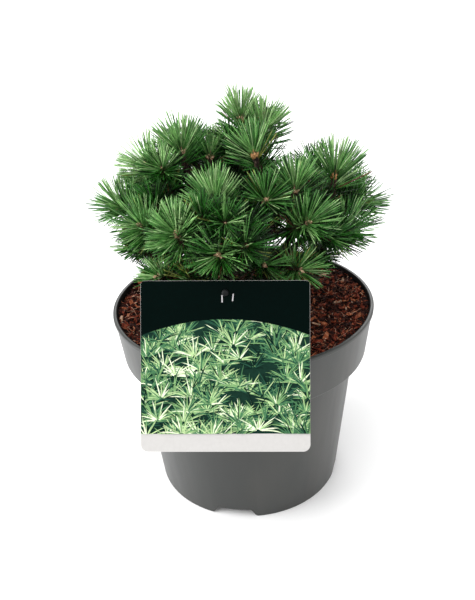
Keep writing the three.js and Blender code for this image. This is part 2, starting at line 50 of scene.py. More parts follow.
MM = 0.001  # metres in a millimetre
GAP = 0.3  # clear space between neighbouring pieces
AXIS = 0.5  # how near to its axis a turned profile starts and ends

POT = Sizes(
    height=146, rim_radius=95, lip_height=2.6, lip_overhang=0.9, collar_height=35.5,
    collar_radius=90.2, body_radius=81.8, base_radius=70.5, wall=2, floor=9, sides=192,
    sharp=38,  # degrees between two faces, from which their edge is sharp
    facing_in=0.3,  # how far a face turns to the middle that counts as the inner wall's
)
DRAIN = Sizes(
    count=4, first_bearing=-10.5, width=32.5, top_width=25, height=7.2, inner_radius=46,
    foot_rounding=3, top_rounding=1.6,
    just_below=0.02, below=2, past=5,  # how far the cutting shape runs past the pot
    hole_radius=4, hole_at=57, hole_ends=(-1, 20), hole_sides=24,
)
SOIL = Sizes(
    edge_height=142.5, crown_height=140, crown_radius=26, below_rim=1.5,
    rings=90, sides=220, middle=0.004, under_chips=0.8,
    swell=Sizes(rise=2.4, scale=0.03, slice=7),
    lump=Sizes(rise=1.6, scale=0.16, slice=3, rough=(0.8, 2.1, 5)),
)
CHIPS = Sizes(
    count=21000, smallest=0.6, largest=6.2, rarity=3, breadth=(0.1, 0.5), thickness=0.22,
    unevenness=0.4, tilt=55, lift=(-0.5, 1.3), seed=21,
)
# The share of the chips that each kind makes up, and its colours.
CHIP_KINDS = {
    "red": (0.4, "#3a140c", "#702c1a", "#b0664a"),
    "brown": (0.46, "#0c0504", "#2c120d", "#613427"),
    "tan": (0.12, "#74341e", "#a25c3c", "#cc9878"),
    "pale": (0.02, "#a8785a", "#d0ab90", "#efe2d6"),
}
FIBRES = Sizes(
    count=420, shortest=5, longest=20, radius=0.16, sides=3, points=7, lift=1, wave=0.9,
    waves=5, wall_clear=1, seed=22,
)

LABEL = Sizes(
    width=105, height=106, thickness=0.8, top_corner=2.6,
    lean=28, turn=2.3, offset=-12.6, centre_height=148.7, hole_drop=7.6,
    touches=1,  # how far below the rim's top the card leans on the pot
)
PRINT = Sizes(
    strip=11.2,  # bare strip at the foot of the card
    band_sides=34,  # depth of the dark band at the card's edges
    band_middle=24,  # and in the middle
    edge_points=41, margin=0.12, lift=0.04,
)
TUFTS = Sizes(
    rows=11, in_row=13, blades=24, past_top=6, past_foot=5, unevenness=4, seed=31,
    tones=(2.1, 2.8), tuft_jitter=0.9, blade_jitter=1.1,
    codes=("#0b201a", "#234838", "#436f4c", "#709663", "#a3bd89", "#d3e0bf"),
)
BLADE = Sizes(
    fan=80,  # degrees to each side
    shortest=6, longest=15, width=0.8, foot=0.1, steps=6, droop=0.35, narrowest=0.1,
    layer=0.0002,  # how far each blade lies over the last
)
SLITS = Sizes(places=((-2.4, 1.4, 0.1), (4.6, 0.6, -0.5)), width=0.8, length=4.6)
PEG = Sizes(
    rod_radius=2, pin_radius=1.6, behind=5.6, head_radius=2.2, head_length=1.8, buried=45,
    point=4, axis=0.1, rod_sides=24, pin_sides=32, sharp=40,
)

PLATES = Sizes(height=1.7, steepness=3.2)  # of bark: height to breadth, and how sharp-edged
TRUNK = Sizes(
    flare_radius=9.5, stem_radius=6, tip_radius=2.4, flare_share=0.16, straight_end=6,
    bend=(7, 5, 186), steps=8, rings=150, sides=40, relief=0.1, plate=2.6,
    buttresses=3, buttress_turn=0.7, buttress_depth=0.22,
)
BOUGH = Sizes(
    foot_radius=2.6, tip_radius=2.1, path_steps=8, rings=64, sides=16, relief=0.16, plate=1.8,
    slimness=0.86, pitch=1.1,
)
BRANCHING = Sizes(
    low=153, high=200, low_rise=14, high_rise=80, height_step=2, steps=9, bends=(0.5, 0.35, 0.65),
)
LINE_POINTS = 201  # on the smooth lines of the trunk and the boughs

# The stems are of three kinds: main ones, twigs, and finer spurs, which the solids leave out.
# The spurs fill the crown between the larger ones, but for the front right, where the photo
# shows sky and dark hollows. The last four values are shares of the main stem's thickness, bud
# and needle length, and how much darker its needles are painted: painted shade on the twigs and
# spurs deeper in the crown.
STEM = Sizes(
    length=50, radius=2.1, rings_each_mm=1.2, sides=10, taper=(1.15, 0.85), up_to=0.93,
    slimness=0.78, relief=0.5, pitch=1, thickness=1, bud=1, needle=1, darker=0,
)
TWIG = Sizes(
    share=0.62, min_spread=38, max_spread=58, start=0.3, end=0.55, tries=30, tested=(0.6, 1),
    seed=100, thickness=0.82, bud=0.5, needle=0.8, darker=0.42,
)
SPUR = Sizes(
    share=0.44, min_spread=40, max_spread=75, start=0.05, end=0.4, tries=40, count=2,
    open_bearings=(10, 60), apart=0.26, pot_clear=2, limb_clear=3, neighbours=3, inside=4,
    seed=900, thickness=0.66, bud=0.4, needle=0.75, darker=0.5,
)
BUD = Sizes(
    length=7, radius=2.6, main=0.8, shaded=(0.6, 1), rings=12, sides=12, foot=0.04, tip=0.02,
    belly=0.75, fullness=0.8, slimness=0.84, relief=0.34, pitch=0.9,
    small=Sizes(least=2, most=4, spread=42, turn=2.2, length=0.75, radius=0.5), seed=41,
)

NEEDLE = Sizes(
    length=26,
    radius=0.4,
    pairs_each_mm=3,
    low_spread=(86, 72),  # degrees, on a sloping and on an upright shoot
    top_spread=(36, 26),
    first_at=(0.42, 0.64),  # shares of the stem, on a sloping and on an upright shoot
    last_at=(0.9, 0.92),
    upright=(48, 76),  # the rises meant by that
    bare=Sizes(rise=66, below=0.9, ahead=0.12, chance=0.85),  # fallen from an upright front
    shaded=(0.35, 1),  # share of the pairs that a shoot keeps at either reach
    shaded_reach=(62, 84),
    crowding=0.6,  # under 1, the pairs stand closer towards the bud
    length_jitter=0.2,
    angle_jitter=15,
    turn_jitter=0.3,
    hanging=0.5,  # how much shorter a needle grows that points straight down
    lift=0.14,  # how far needles turn up to the light
    parting=5,  # degrees from the pair's middle to each needle
    partner=(0.94, 1),  # length of a pair's second needle
    bow=0.5,  # sideways bend at the middle of a needle
    shares=(1, 0.84, 0.68, 0.52),
    tested=(0.4, 0.6, 0.8, 1),
    ring_shares=(0, 0.25, 0.9),
    ring_radii=(0.75, 1, 0.8),
    thickness=(0.85, 1.12),
    trespass=11,  # how far past the middle a needle may reach between two stems
    seed=51,
)
SHEATH = Sizes(length=2.6, radius=0.85, widths=(1.1, 0.9))
CLEARANCE = Sizes(needle=0.5, limb=0.9, soil=3)
GOLDEN_ANGLE = math.radians(137.508)
FORK = np.array([0.0, 0.0, 170.0])  # where the shoots' bearings, rises and reaches start

# One row a shoot: name, bearing, rise and reach of its bud from the fork, the bearing and rise
# that it points in, its side twigs, the tone of its needles (0 dark to 1 bright: partly the
# shoot's own, partly painted light and shade for how lit it stands), their length as a share
# of the usual one, and its bud.
SHOOT_COLUMNS = ("name", "bearing", "rise", "reach", "aim", "twigs", "tone", "needle", "bud")
SHOOTS = [
    ("leader", 172, 77, 110, (-60, 85), 1, 0.82, 0.97, "tan"),
    ("top_right", 134, 74, 103, (100, 70), 1, 0.65, 1.03, "tan"),
    ("top_front", 34, 79, 94, (-70, 72), 0, 0.42, 1.03, "orange"),
    ("top_left", -106, 78, 89, (0, 85), 0, 0.45, 0.88, "tan"),
    ("left_upper", -90, 68, 100, (-90, 80), 1, 0.6, 1.16, "tan"),
    ("left_middle", -94, 52, 103, (-80, 48), 2, 0.78, 1.08, "tan"),
    ("left_outer", -83, 34, 103, (-85, 32), 0, 0.46, 1.0, "tan"),
    ("left_front", -62, 35, 92, (-60, 40), 1, 0.48, 1.04, "tan"),
    ("left_lower", -74, 22, 88, (-80, 28), 0, 0.46, 0.6, "tan"),
    ("bottom_left", -50, 15, 78, (-50, 22), 1, 0.4, 0.78, "tan"),
    ("front_left", -33, 38, 93, (-25, 52), 1, 0.58, 1.04, "tan"),
    ("front_middle", -20, 58, 83, (-22, 78), 1, 0.6, 1.08, "tan"),
    ("front_low", -12, 32, 82, (-14, 32), 2, 0.42, 1.08, "tan"),
    ("centre_star", 21, 55, 84, (5, 32), 0, 0.22, 0.96, "tan"),
    ("centre_low", 15, 26, 66, (15, 20), 1, 0.15, 1, "tan"),
    ("right_middle", 51, 57, 87, (40, 80), 0, 0.43, 1.08, "tan"),
    ("right_upper", 86, 48, 98, (90, 84), 1, 0.58, 1.2, "orange"),
    ("right_star", 42, 39, 87, (38, 30), 1, 0.41, 1.04, "tan"),
    ("right_lower", 71, 27, 88, (65, 38), 0, 0.34, 1.12, "orange"),
    ("right_outer", 93, 29, 98, (80, 38), 1, 0.32, 1.12, "orange"),
    ("bottom_right", 36, 18, 71, (30, 10), 1, 0.4, 1, "tan"),
    ("back_top", 180, 51, 87, (180, 62), 2, 0.45, 1, "tan"),
    ("back_left_upper", -118, 38, 94, (-118, 45), 2, 0.5, 1, "orange"),
    ("back_left", -150, 37, 87, (-150, 42), 2, 0.6, 1, "tan"),
    ("back_left_lower", -128, 16, 90, (-125, 22), 2, 0.35, 1, "tan"),
    ("back_lower", -170, 17, 85, (-172, 22), 2, 0.4, 1, "orange"),
    ("back_right", 150, 24, 86, (150, 30), 2, 0.55, 1, "tan"),
    ("back_right_upper", 120, 24, 90, (120, 32), 2, 0.4, 1, "tan"),
]

# Needle colours from dark to bright, dealt out as painted light and shade and as tone that
# differs at random, then those of last year's and of dead needles.
NEEDLE_TONES = ["#0b2a06", "#245a1b", "#487a3b", "#6c9a56", "#94b67b"]
OLD_TONE = "#7c8440"
DRY_TONE = "#6b4b35"
# How a needle's tone follows its place: painted shade further in and where it hangs, painted
# light where it rises, painted glints that lift some pairs a step brighter, last year's ones low
# on the plant, and a few dead ones.
SHADE = Sizes(
    inner=0.45, jitter=0.27, rising=0.12, hanging=0.4, offset=0.4,
    dead=0.03, dead_below=0.3, glossy=0.1, old_low=0.7, old_high=0.98, old_below=0.7, low=56,
)
BUD_CODES = {"tan": ("#7a5339", "#e2c49f"), "orange": ("#7c5130", "#cf9c66")}

# The camera looks down by `dip` degrees, a little to the left of straight back.
CAMERA = Sizes(
    place=(0, -471.645, 393.49), dip=27.76893, turn=0.483412, roll=-2.692202,
    lens=43.42, sensor=36, sight=50000,
)
# Each light's kind, power and place in metres; all are turned to the plant's middle.
LIGHTS = {
    "key": ("SUN", 1.3, (-0.9, -1.0, 2.4)),
    "left": ("AREA", 18, (-1.3, -0.25, 0.6)),
    "right": ("AREA", 1, (1.3, -0.15, 0.6)),
    "back": ("AREA", 9, (0.1, 1.3, 0.95)),
}
LIT = Sizes(middle=(0, 0, 0.16), sun_angle=50, panel_width=1.0, panel_height=1.2)
FLOOR_WIDTH = 24000

# ---------------- small helpers


def colour(code):
    """Linear red, green, blue and alpha of an sRGB #rrggbb code."""
    parts = [int(code[i : i + 2], 16) / 255 for i in (1, 3, 5)]
    linear = [p / 12.92 if p <= 0.04045 else ((p + 0.055) / 1.055) ** 2.4 for p in parts]
    return (*linear, 1)


def direction(bearing, rise):
    """Unit vector at a bearing from the front (+ to the right) and a rise above the level."""
    turn, lift = math.radians(bearing), math.radians(rise)
    return np.array(
        [math.cos(lift) * math.sin(turn), -math.cos(lift) * math.cos(turn), math.sin(lift)]
    )


def unit(vector):
    """The vector, or each row of vectors, at length one."""
    return vector / np.linalg.norm(vector, axis=-1, keepdims=True)


def mix(low, high, share):
    """The value at a share of the way from low to high."""
    return low + (high - low) * share


def seeded_random(seed):
    """Repeatable random numbers from 0 to 1 (mulberry32), the same as in the part's source."""
    whole = 0xFFFFFFFF
    state = seed
    while True:
        state = (state + 0x6D2B79F5) & whole
        mixed = ((state ^ (state >> 15)) * (1 | state)) & whole
        mixed = (mixed + (mixed ^ (mixed >> 7)) * (61 | mixed)) & whole ^ mixed
        yield ((mixed ^ (mixed >> 14)) & whole) / (whole + 1)


def distances(points, starts, ends):
    """Distance from each point to each straight stretch, one row a point."""
    along = ends - starts
    away = points[:, None, :] - starts[None, :, :]
    share = np.clip((away * along).sum(-1) / (along * along).sum(-1), 0, 1)
    return np.linalg.norm(away - share[..., None] * along, axis=-1)


def distance_to_path(points, path):
    """Distance from each point to the nearest stretch of a path."""
    return distances(points, path[:-1], path[1:]).min(axis=1)


def spaced(path, count):
    """The path again as `count` points at even distances along it."""
    steps = np.linalg.norm(np.diff(path, axis=0), axis=1)
    length = np.concatenate([[0], np.cumsum(steps)])
    wanted = np.linspace(0, length[-1], count)
    return np.stack([np.interp(wanted, length, path[:, axis]) for axis in range(3)], axis=1)


def level_ways(turns):
    """Level directions at each angle from the right, one row an angle."""
    return np.stack([np.cos(turns), np.sin(turns), 0 * turns], axis=1)


def leaning_from(axis, spread, turn):
    """Directions that lean away from an axis by `spread`, turned round it, in radians."""
    side = unit(np.cross([0, 0, 1], axis))
    spread, turn = np.atleast_1d(spread)[:, None], np.atleast_1d(turn)[:, None]
    across = np.cross(side, axis) * np.cos(turn) + side * np.sin(turn)
    return axis * np.cos(spread) + across * np.sin(spread)


def turns_of(sides):
    """Angles of the corners of a ring."""
    return np.arange(sides) * 2 * math.pi / sides


def ring_corners(way, side, sides):
    """Corners of a ring of radius one that stands square to a way, from one side of it on."""
    turns = turns_of(sides)[:, None]
    return np.cos(turns) * side + np.sin(turns) * np.cross(way, side)


def square_side(way):
    """A direction that stands square to a way."""
    return np.cross(way, [1, 0, 0] if abs(way[0]) < 0.8 else [0, 1, 0])


# ---------------- making meshes


def placed(name, data):
    """A new object in the scene."""
    made = bpy.data.objects.new(name, data)
    bpy.context.scene.collection.objects.link(made)
    return made


def make_object(name, points, faces):
    """An object made of points in millimetres and arrays of faces."""
    mesh = bpy.data.meshes.new(name)
    corners = [face for group in faces for face in np.asarray(group).tolist()]
    mesh.from_pydata((np.asarray(points) * MM).tolist(), [], corners)
    return placed(name, mesh)


def make_piece(name, points, faces, material, replaces=(), smooth=True):
    """A piece of the part, tied to the frame."""
    piece = make_object(name, points, faces)
    if smooth:
        piece.data.shade_smooth()
    piece.data.materials.append(material)
    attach(piece, "root")
    if replaces:
        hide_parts(*replaces)
    return piece


class Joined:
    """Points and faces of many small things, gathered into one mesh."""

    def __init__(self):
        self.points = []
        self.faces = []
        self.count = 0

    def add(self, points, faces):
        """Adds one thing, or many alike, whose faces count from its own first point."""
        self.points.append(points)
        self.faces += [np.asarray(group) + self.count for group in faces]
        self.count += len(points)

    def make(self, name, material, slot, replaces=(), smooth=True):
        """The gathered things as one piece."""
        points = np.concatenate(self.points)
        return make_piece(name, points, self.faces, material, replaces, smooth)


def repeated(faces, step, count):
    """The faces of one thing, again for `count` things of `step` points each."""
    faces = np.asarray(faces)
    return (faces + step * np.arange(count)[:, None, None]).reshape(-1, faces.shape[1])


def tube_faces(rings, sides):
    """Quads between the rings of a tube, with a fan on the first point and one on the last."""
    first = np.arange(sides)
    after = (first + 1) % sides
    band = np.stack([first, after, after + sides, first + sides], axis=1)
    quads = repeated(band, sides, rings - 1)
    last, middle = (rings - 1) * sides, rings * sides
    foot = np.stack([after, first, np.full(sides, middle)], axis=1)
    top = np.stack([first + last, after + last, np.full(sides, middle + 1)], axis=1)
    return [quads, foot, top]


def sweep(path, radii):
    """Points and faces of a closed tube: each row of radii is one ring of corners."""
    rings, sides = radii.shape
    ahead = unit(np.gradient(path, axis=0))
    side = square_side(ahead[0])
    points = []
    for place, way, radius in zip(path, ahead, radii):
        side = unit(side - way * np.dot(side, way))
        points.append(place + radius[:, None] * ring_corners(way, side, sides))
    return np.concatenate([*points, path[[0, -1]]]), tube_faces(rings, sides)


def rounded(corners, steps=6):
    """Points of a profile of (x, y, rounding) corners, with a curve for each rounding."""
    points = []
    for index, (x, y, rounding) in enumerate(corners):
        corner = np.array([x, y], float)
        if not rounding:
            points.append(corner)
            continue
        start = corner + rounding * unit(np.array(corners[index - 1][:2]) - corner)
        end = corner + rounding * unit(np.array(corners[(index + 1) % len(corners)][:2]) - corner)
        for share in np.linspace(0, 1, steps + 1):
            points.append(mix(mix(start, corner, share), mix(corner, end, share), share))
    return points


def lathe(profile, sides, origin=(0, 0, 0), axis=(0, 0, 1)):
    """Points and faces of a body of revolution about an axis, from (radius, height) pairs."""
    radii, heights = np.array(profile, float).T
    axis = np.array(axis, float)
    corners = ring_corners(axis, unit(square_side(axis)), sides)
    rings = radii[:, None, None] * corners + heights[:, None, None] * axis
    ends = np.outer(heights[[0, -1]], axis)
    return np.concatenate([rings.reshape(-1, 3), ends]) + origin, tube_faces(len(profile), sides)


# ---------------- materials


class Material:
    """A material whose looks follow noise patterns."""

    def __init__(self, name, roughness, specular):
        self.material = bpy.data.materials.new(name)
        self.material.use_nodes = True
        self.tree = self.material.node_tree
        self.sockets = self.tree.nodes["Principled BSDF"].inputs
        self.sockets["Roughness"].default_value = roughness
        self.sockets["Specular IOR Level"].default_value = specular
        self.place = self.node("ShaderNodeTexCoord").outputs["Object"]

    def node(self, kind, **settings):
        """A new node with its input sockets, by name, set to values or linked."""
        made = self.tree.nodes.new(kind)
        for name, value in settings.items():
            socket = made.inputs[name.replace("_", " ")]
            if isinstance(value, bpy.types.NodeSocket):
                self.tree.links.new(value, socket)
            else:
                socket.default_value = value
        return made

    def noise(self, scale, detail=4, roughness=0.6, up=1):
        """A pattern with `scale` features in a metre, drawn out upwards where `up` is under 1."""
        look = {"Scale": scale, "Detail": detail, "Roughness": roughness}
        place = self.place
        if up != 1:
            place = self.node("ShaderNodeMapping", Vector=place, Scale=(1, 1, up)).outputs[0]
        return self.node("ShaderNodeTexNoise", Vector=place, **look).outputs["Fac"]

    def paint(self, pattern, *stops):
        """Deals out colours, which are (position, code) stops, by a pattern."""
        made = self.node("ShaderNodeValToRGB", Fac=pattern)
        elements = made.color_ramp.elements
        for index, (position, code) in enumerate(stops):
            stop = elements.new(position) if index >= len(elements) else elements[index]
            stop.position = position
            stop.color = colour(code)
        self.tree.links.new(made.outputs["Color"], self.sockets["Base Color"])

    def roughen(self, pattern, low, high):
        """Lets the roughness follow a pattern."""
        made = self.node("ShaderNodeMapRange", Value=pattern, To_Min=low, To_Max=high)
        self.tree.links.new(made.outputs["Result"], self.sockets["Roughness"])

    def bump(self, pattern, depth, strength=1.0):
        """Lets the surface rise with a pattern; depth in millimetres."""
        made = self.node("ShaderNodeBump", Height=pattern, Strength=strength, Distance=depth * MM)
        self.tree.links.new(made.outputs["Normal"], self.sockets["Normal"])


def either_side(code, spread):
    """Two colour stops, one darker and one brighter than the code's by a share."""
    parts = np.array([int(code[i : i + 2], 16) for i in (1, 3, 5)])
    codes = []
    for factor in (1 - spread, 1 + spread):
        red, green, blue = np.clip(np.round(parts * factor), 0, 255).astype(int)
        codes.append(f"#{red:02x}{green:02x}{blue:02x}")
    return (0.3, codes[0]), (0.7, codes[1])


def needle_material(name, code):
    """Waxy needle green, a little uneven, with a soft gloss."""
    made = Material(name, roughness=0.34, specular=0.3)
    made.paint(made.noise(160, detail=2), *either_side(code, 0.25))
    made.roughen(made.noise(900, detail=1), 0.24, 0.38)
    return made.material


def bark_material(name, dark, middle, pale, scale):
    """Flaky bark: dark cracks, brown plates and greyish flecks."""
    made = Material(name, roughness=0.85, specular=0.25)
    flecks = made.noise(scale, detail=6, roughness=0.7, up=0.45)
    made.paint(flecks, (0.34, dark), (0.52, middle), (0.74, pale))
    made.bump(made.noise(scale * 2, detail=5, up=0.45), depth=0.5)
    return made.material


def bud_material(name, dark, pale):
    """Papery bud scales with beads of resin."""
    made = Material(name, roughness=0.5, specular=0.5)
    made.paint(made.noise(900, detail=3), (0.38, dark), (0.62, pale))
    made.roughen(made.noise(2200), 0.3, 0.65)
    return made.material


def pot_material():
    """Charcoal moulded polypropylene: its soft gloss makes it look grey, with faint scuffs."""
    made = Material("pot_plastic", roughness=0.38, specular=0.5)
    clouds = made.noise(11, detail=3, up=0.4)
    made.paint(clouds, (0.3, "#262827"), (0.55, "#2b2d2b"), (0.75, "#363531"))
    made.roughen(made.noise(90, detail=6, up=0.12), 0.3, 0.5)
    made.bump(made.noise(700, detail=2), depth=0.03, strength=0.6)
    return made.material


def painted_shade_inner_wall_material():
    """The pot's inside wall, near black: painted shade, darker than the pot's own plastic."""
    made = Material("pot_inside_painted_shade", roughness=0.7, specular=0.1)
    made.paint(made.noise(60, detail=6, up=0.3), (0.4, "#060505"), (0.7, "#15110f"))
    made.bump(made.noise(300), depth=0.1)
    return made.material


def soil_material(name, dark, middle, pale):
    """Loose bark and fibre: uneven browns, rough all over."""
    made = Material(name, roughness=0.95, specular=0.2)
    crumbs = made.noise(520, detail=8, roughness=0.7)
    made.paint(crumbs, (0.36, dark), (0.52, middle), (0.7, pale))
    made.bump(made.noise(1560, detail=6), depth=0.6)
    return made.material


def print_material(name, code, spread=0.12):
    """Glossy printed card, with the faint mottle of the print."""
    made = Material(name, roughness=0.3, specular=0.03)
    made.paint(made.noise(420, detail=3), *either_side(code, spread))
    made.roughen(made.noise(80), 0.24, 0.36)
    return made.material


def peg_material():
    """Smooth black plastic with handling marks."""
    made = Material("peg_plastic", roughness=0.3, specular=0.15)
    made.paint(made.noise(300), (0.3, "#0c0f10"), (0.7, "#171b1c"))
    made.roughen(made.noise(500), 0.22, 0.42)
    return made.material


def floor_material():
    """Plain pale studio floor."""
    made = Material("floor_paint", roughness=0.9, specular=0.1)
    made.paint(made.noise(3), (0.3, "#f6f6f6"), (0.7, "#fbfbfb"))
    return made.material


# ---------------- pot

collar_bottom = POT.height - POT.collar_height
collar_top_radius = POT.rim_radius - POT.lip_overhang
inner_mouth_radius = collar_top_radius - POT.wall


def pot_profile():
    """Corners of the pot's wall, up the outside and down the inside to the floor."""
    lip_foot, shelf = POT.height - POT.lip_height, collar_bottom + POT.wall
    floor_radius = mix(POT.base_radius, POT.body_radius, POT.floor / collar_bottom) - POT.wall
    return rounded(
        [
            (AXIS, 0, 0),
            (POT.base_radius, 0, 0.8),
            (POT.body_radius, collar_bottom, 1.2),
            (POT.collar_radius, collar_bottom, 1.2),
            (collar_top_radius, lip_foot, 0.5),
            (POT.rim_radius, lip_foot, 0.4),
            (POT.rim_radius, POT.height, 1.1),
            (inner_mouth_radius, POT.height, 0.9),
            (POT.collar_radius - POT.wall, shelf, 1.5),
            (POT.body_radius - POT.wall, shelf, 1.5),
            (floor_radius, POT.floor, 2),
            (AXIS, POT.floor, 0),
        ]
    )


def drain_cutter():
    """Points and faces of one channel's outline with rounded feet, run out along -Y."""
    half_foot, half_top = DRAIN.width / 2, DRAIN.top_width / 2
    wide = half_foot + 2 * DRAIN.foot_rounding
    left = [
        (-wide, -DRAIN.below, 0),
        (-wide, -DRAIN.just_below, 0),
        (-half_foot, -DRAIN.just_below, DRAIN.foot_rounding),
        (-half_top, DRAIN.height, DRAIN.top_rounding),
    ]
    outline = rounded(left + [(-x, z, rounding) for x, z, rounding in reversed(left)])
    near, far = -DRAIN.inner_radius, -POT.rim_radius - DRAIN.past
    points = [(x, y, z) for y in (near, far) for x, z in outline]
    first = np.arange(len(outline))
    near_side, far_side = first[None, :], first[None, :] + len(first)
    after = (first + 1) % len(first)
    walls = np.stack([first, first + len(first), after + len(first), after], axis=1)
    return np.array(points), [walls, near_side, far_side[:, ::-1]]


def make_drain_cutters():
    """All the channels and their holes as one joined object."""
    cutters = Joined()
    channel, channel_faces = drain_cutter()
    foot, top = DRAIN.hole_ends
    hole = [(AXIS, foot), (DRAIN.hole_radius, foot), (DRAIN.hole_radius, top), (AXIS, top)]
    for index in range(DRAIN.count):
        bearing = DRAIN.first_bearing + 360 / DRAIN.count * index
        turn = np.array(Matrix.Rotation(math.radians(bearing), 3, "Z"))
        cutters.add(channel @ turn.T, channel_faces)
        holes_at = direction(bearing, 0) * DRAIN.hole_at
        cutters.add(*lathe(hole, DRAIN.hole_sides, origin=holes_at))
    return make_object("drain_cutters", np.concatenate(cutters.points), cutters.faces)


def make_pot():
    """The pot: a turned wall with a rolled rim, cut by its drainage channels."""
    points, faces = lathe(pot_profile(), POT.sides)
    pot = make_piece("pot_shell", points, faces, pot_material(), ["pot"])
    cutters = make_drain_cutters()
    cut = pot.modifiers.new("drains", "BOOLEAN")
    cut.operation = "DIFFERENCE"
    cut.solver = "EXACT"
    cut.use_self = True
    cut.object = cutters
    graph = bpy.context.evaluated_depsgraph_get()
    pot.data = bpy.data.meshes.new_from_object(pot.evaluated_get(graph))
    pot.modifiers.clear()
    bpy.data.objects.remove(cutters)
    pot.data.shade_smooth()
    pot.data.set_sharp_from_angle(angle=math.radians(POT.sharp))
    pot.data.materials.append(painted_shade_inner_wall_material())
    # the inner wall's faces above the shelf take the near-black painted shade
    for face in pot.data.polygons:
        x, y, z = face.center
        inner = face.normal.x * x + face.normal.y * y < -POT.facing_in * math.hypot(x, y)
        face.material_index = int(inner and z > (collar_bottom + POT.wall) * MM)


# ---------------- soil

soil_edge_share = (SOIL.edge_height - collar_bottom) / (POT.collar_height - POT.lip_height)
soil_edge_radius = mix(POT.collar_radius, collar_top_radius, soil_edge_share) - POT.wall - GAP


def soil_height(radius):
    """Height of the soil's even surface at a distance from the pot's middle."""
    share = np.clip((radius - SOIL.crown_radius) / (soil_edge_radius - SOIL.crown_radius), 0, 1)
    return mix(SOIL.crown_height, SOIL.edge_height, share)


def ground_height(x, y):
    """Height of the soil's loose surface, with its swells and lumps, at each place."""
    swell, lump = SOIL.swell, SOIL.lump
    rises = []
    for px, py in zip(np.ravel(x), np.ravel(y)):
        broad = noise.noise(Vector((px * swell.scale, py * swell.scale, swell.slice)))
        fine = noise.fractal(Vector((px * lump.scale, py * lump.scale, lump.slice)), *lump.rough)
        rises.append(swell.rise * broad + lump.rise * fine)
    height = soil_height(np.hypot(x, y)) + np.reshape(rises, np.shape(x))
    return np.minimum(height, POT.height - SOIL.below_rim)


def make_soil_ground():
    """The soil's lumpy surface, closed by the pot's inner wall and floor."""
    floor, shelf = POT.floor + GAP, collar_bottom + POT.wall + GAP
    below = [
        (AXIS, floor),
        (POT.base_radius - POT.wall - GAP, floor),
        (POT.body_radius - POT.wall - GAP, shelf),
        (POT.collar_radius - POT.wall - GAP, shelf),
    ]
    surface = soil_edge_radius * np.linspace(1, SOIL.middle, SOIL.rings)
    radii = np.array([*(radius for radius, _ in below), *surface])[:, None]
    turns = turns_of(SOIL.sides)
    x, y = radii * np.cos(turns), radii * np.sin(turns)
    z = np.array([np.full(SOIL.sides, height) for _, height in below])
    z = np.concatenate([z, ground_height(x[len(below) :], y[len(below) :]) - SOIL.under_chips])
    grid = np.stack([x, y, z], axis=-1).reshape(-1, 3)
    points = np.concatenate([grid, [[0, 0, floor], [0, 0, z[-1].mean()]]])
    # near-black ground: dark compost, made darker as painted shade of the gaps between the chips
    material = soil_material("soil_dark", "#080302", "#1c0b07", "#3f1a0f")
    make_piece("soil_ground", points, tube_faces(len(z), SOIL.sides), material, ["soil"])


def scattered(random, margins):
    """A place on the soil for each margin that is kept from the wall, evenly spread."""
    radius = (soil_edge_radius - margins) * np.sqrt(random.random(len(margins)))
    turn = 2 * math.pi * random.random(len(margins))
    x, y = radius * np.cos(turn), radius * np.sin(turn)
    return np.stack([x, y, ground_height(x, y)], axis=1)


def random_turns(random, count, tilt):
    """Turns that lay flat things down any way round, tilted by up to `tilt` degrees."""
    spin, lean, bearing = 2 * math.pi * random.random((3, count))
    lean = (np.radians(tilt) * lean / (2 * math.pi))[:, None]
    across, hinge = level_ways(spin), level_ways(bearing)
    kept = hinge * (hinge * across).sum(1, keepdims=True) * (1 - np.cos(lean))
    tilted = across * np.cos(lean) + np.cross(hinge, across) * np.sin(lean) + kept
    up = np.array([0, 0, 1.0])
    raised = up * np.cos(lean) + np.cross(hinge, up) * np.sin(lean)
    return np.stack([tilted, np.cross(raised, tilted), raised], axis=1)


def make_chips():
    """Loose bits of bark and a few pale ones, each an uneven block, dealt out by colour."""
    random = np.random.default_rng(CHIPS.seed)
    cube = np.array([(x, y, z) for x in (-1, 1) for y in (-1, 1) for z in (-1, 1)], float)
    quads = [(0, 1, 3, 2), (4, 6, 7, 5), (0, 4, 5, 1), (2, 3, 7, 6), (0, 2, 6, 4), (1, 5, 7, 3)]
    for kind, (share, *codes) in CHIP_KINDS.items():
        count = round(CHIPS.count * share)
        growth = random.random(count) ** CHIPS.rarity
        size = CHIPS.smallest * (CHIPS.largest / CHIPS.smallest) ** growth
        breadth = size * mix(*CHIPS.breadth, random.random(count))
        shape = np.stack([size, breadth, size * CHIPS.thickness], axis=1)[:, None, :]
        uneven = 1 + CHIPS.unevenness * random.standard_normal((count, len(cube), 3))
        turned = cube * uneven * shape / 2 @ random_turns(random, count, CHIPS.tilt)
        places = scattered(random, size / 2)
        places[:, 2] += mix(*CHIPS.lift, random.random(count))
        points = (turned + places[:, None, :]).reshape(-1, 3)
        faces = repeated(quads, len(cube), count)
        material = soil_material(f"chips_{kind}", *codes)
        make_piece(f"soil_chips_{kind}", points, [faces], material, smooth=False)


def make_fibres():
    """Fine curved coir fibres lying on the soil."""
    random = np.random.default_rng(FIBRES.seed)
    fibres = Joined()
    radii = np.full((FIBRES.points, FIBRES.sides), FIBRES.radius)
    shares = np.linspace(-0.5, 0.5, FIBRES.points)
    for place in scattered(random, np.full(FIBRES.count, FIBRES.shortest / 2)):
        length = mix(FIBRES.shortest, FIBRES.longest, random.random() ** 2)
        turn, bend = 2 * math.pi * random.random(), random.standard_normal()
        steps = level_ways(turn + bend * shares) * length / (FIBRES.points - 1)
        path = place + np.cumsum(steps, axis=0) - steps.sum(0) / 2
        x, y = path[:, 0], path[:, 1]
        wave = FIBRES.wave * np.sin(shares * FIBRES.waves + turn)
        path[:, 2] = ground_height(x, y) + FIBRES.lift + wave
        if np.hypot(x, y).max() < soil_edge_radius - FIBRES.wall_clear:
            fibres.add(*sweep(path, radii))
    fibres.make("soil_fibres", soil_material("fibre_tan", "#7c4a35", "#b98c72", "#ead8c8"), "soil")


# ---------------- label and peg

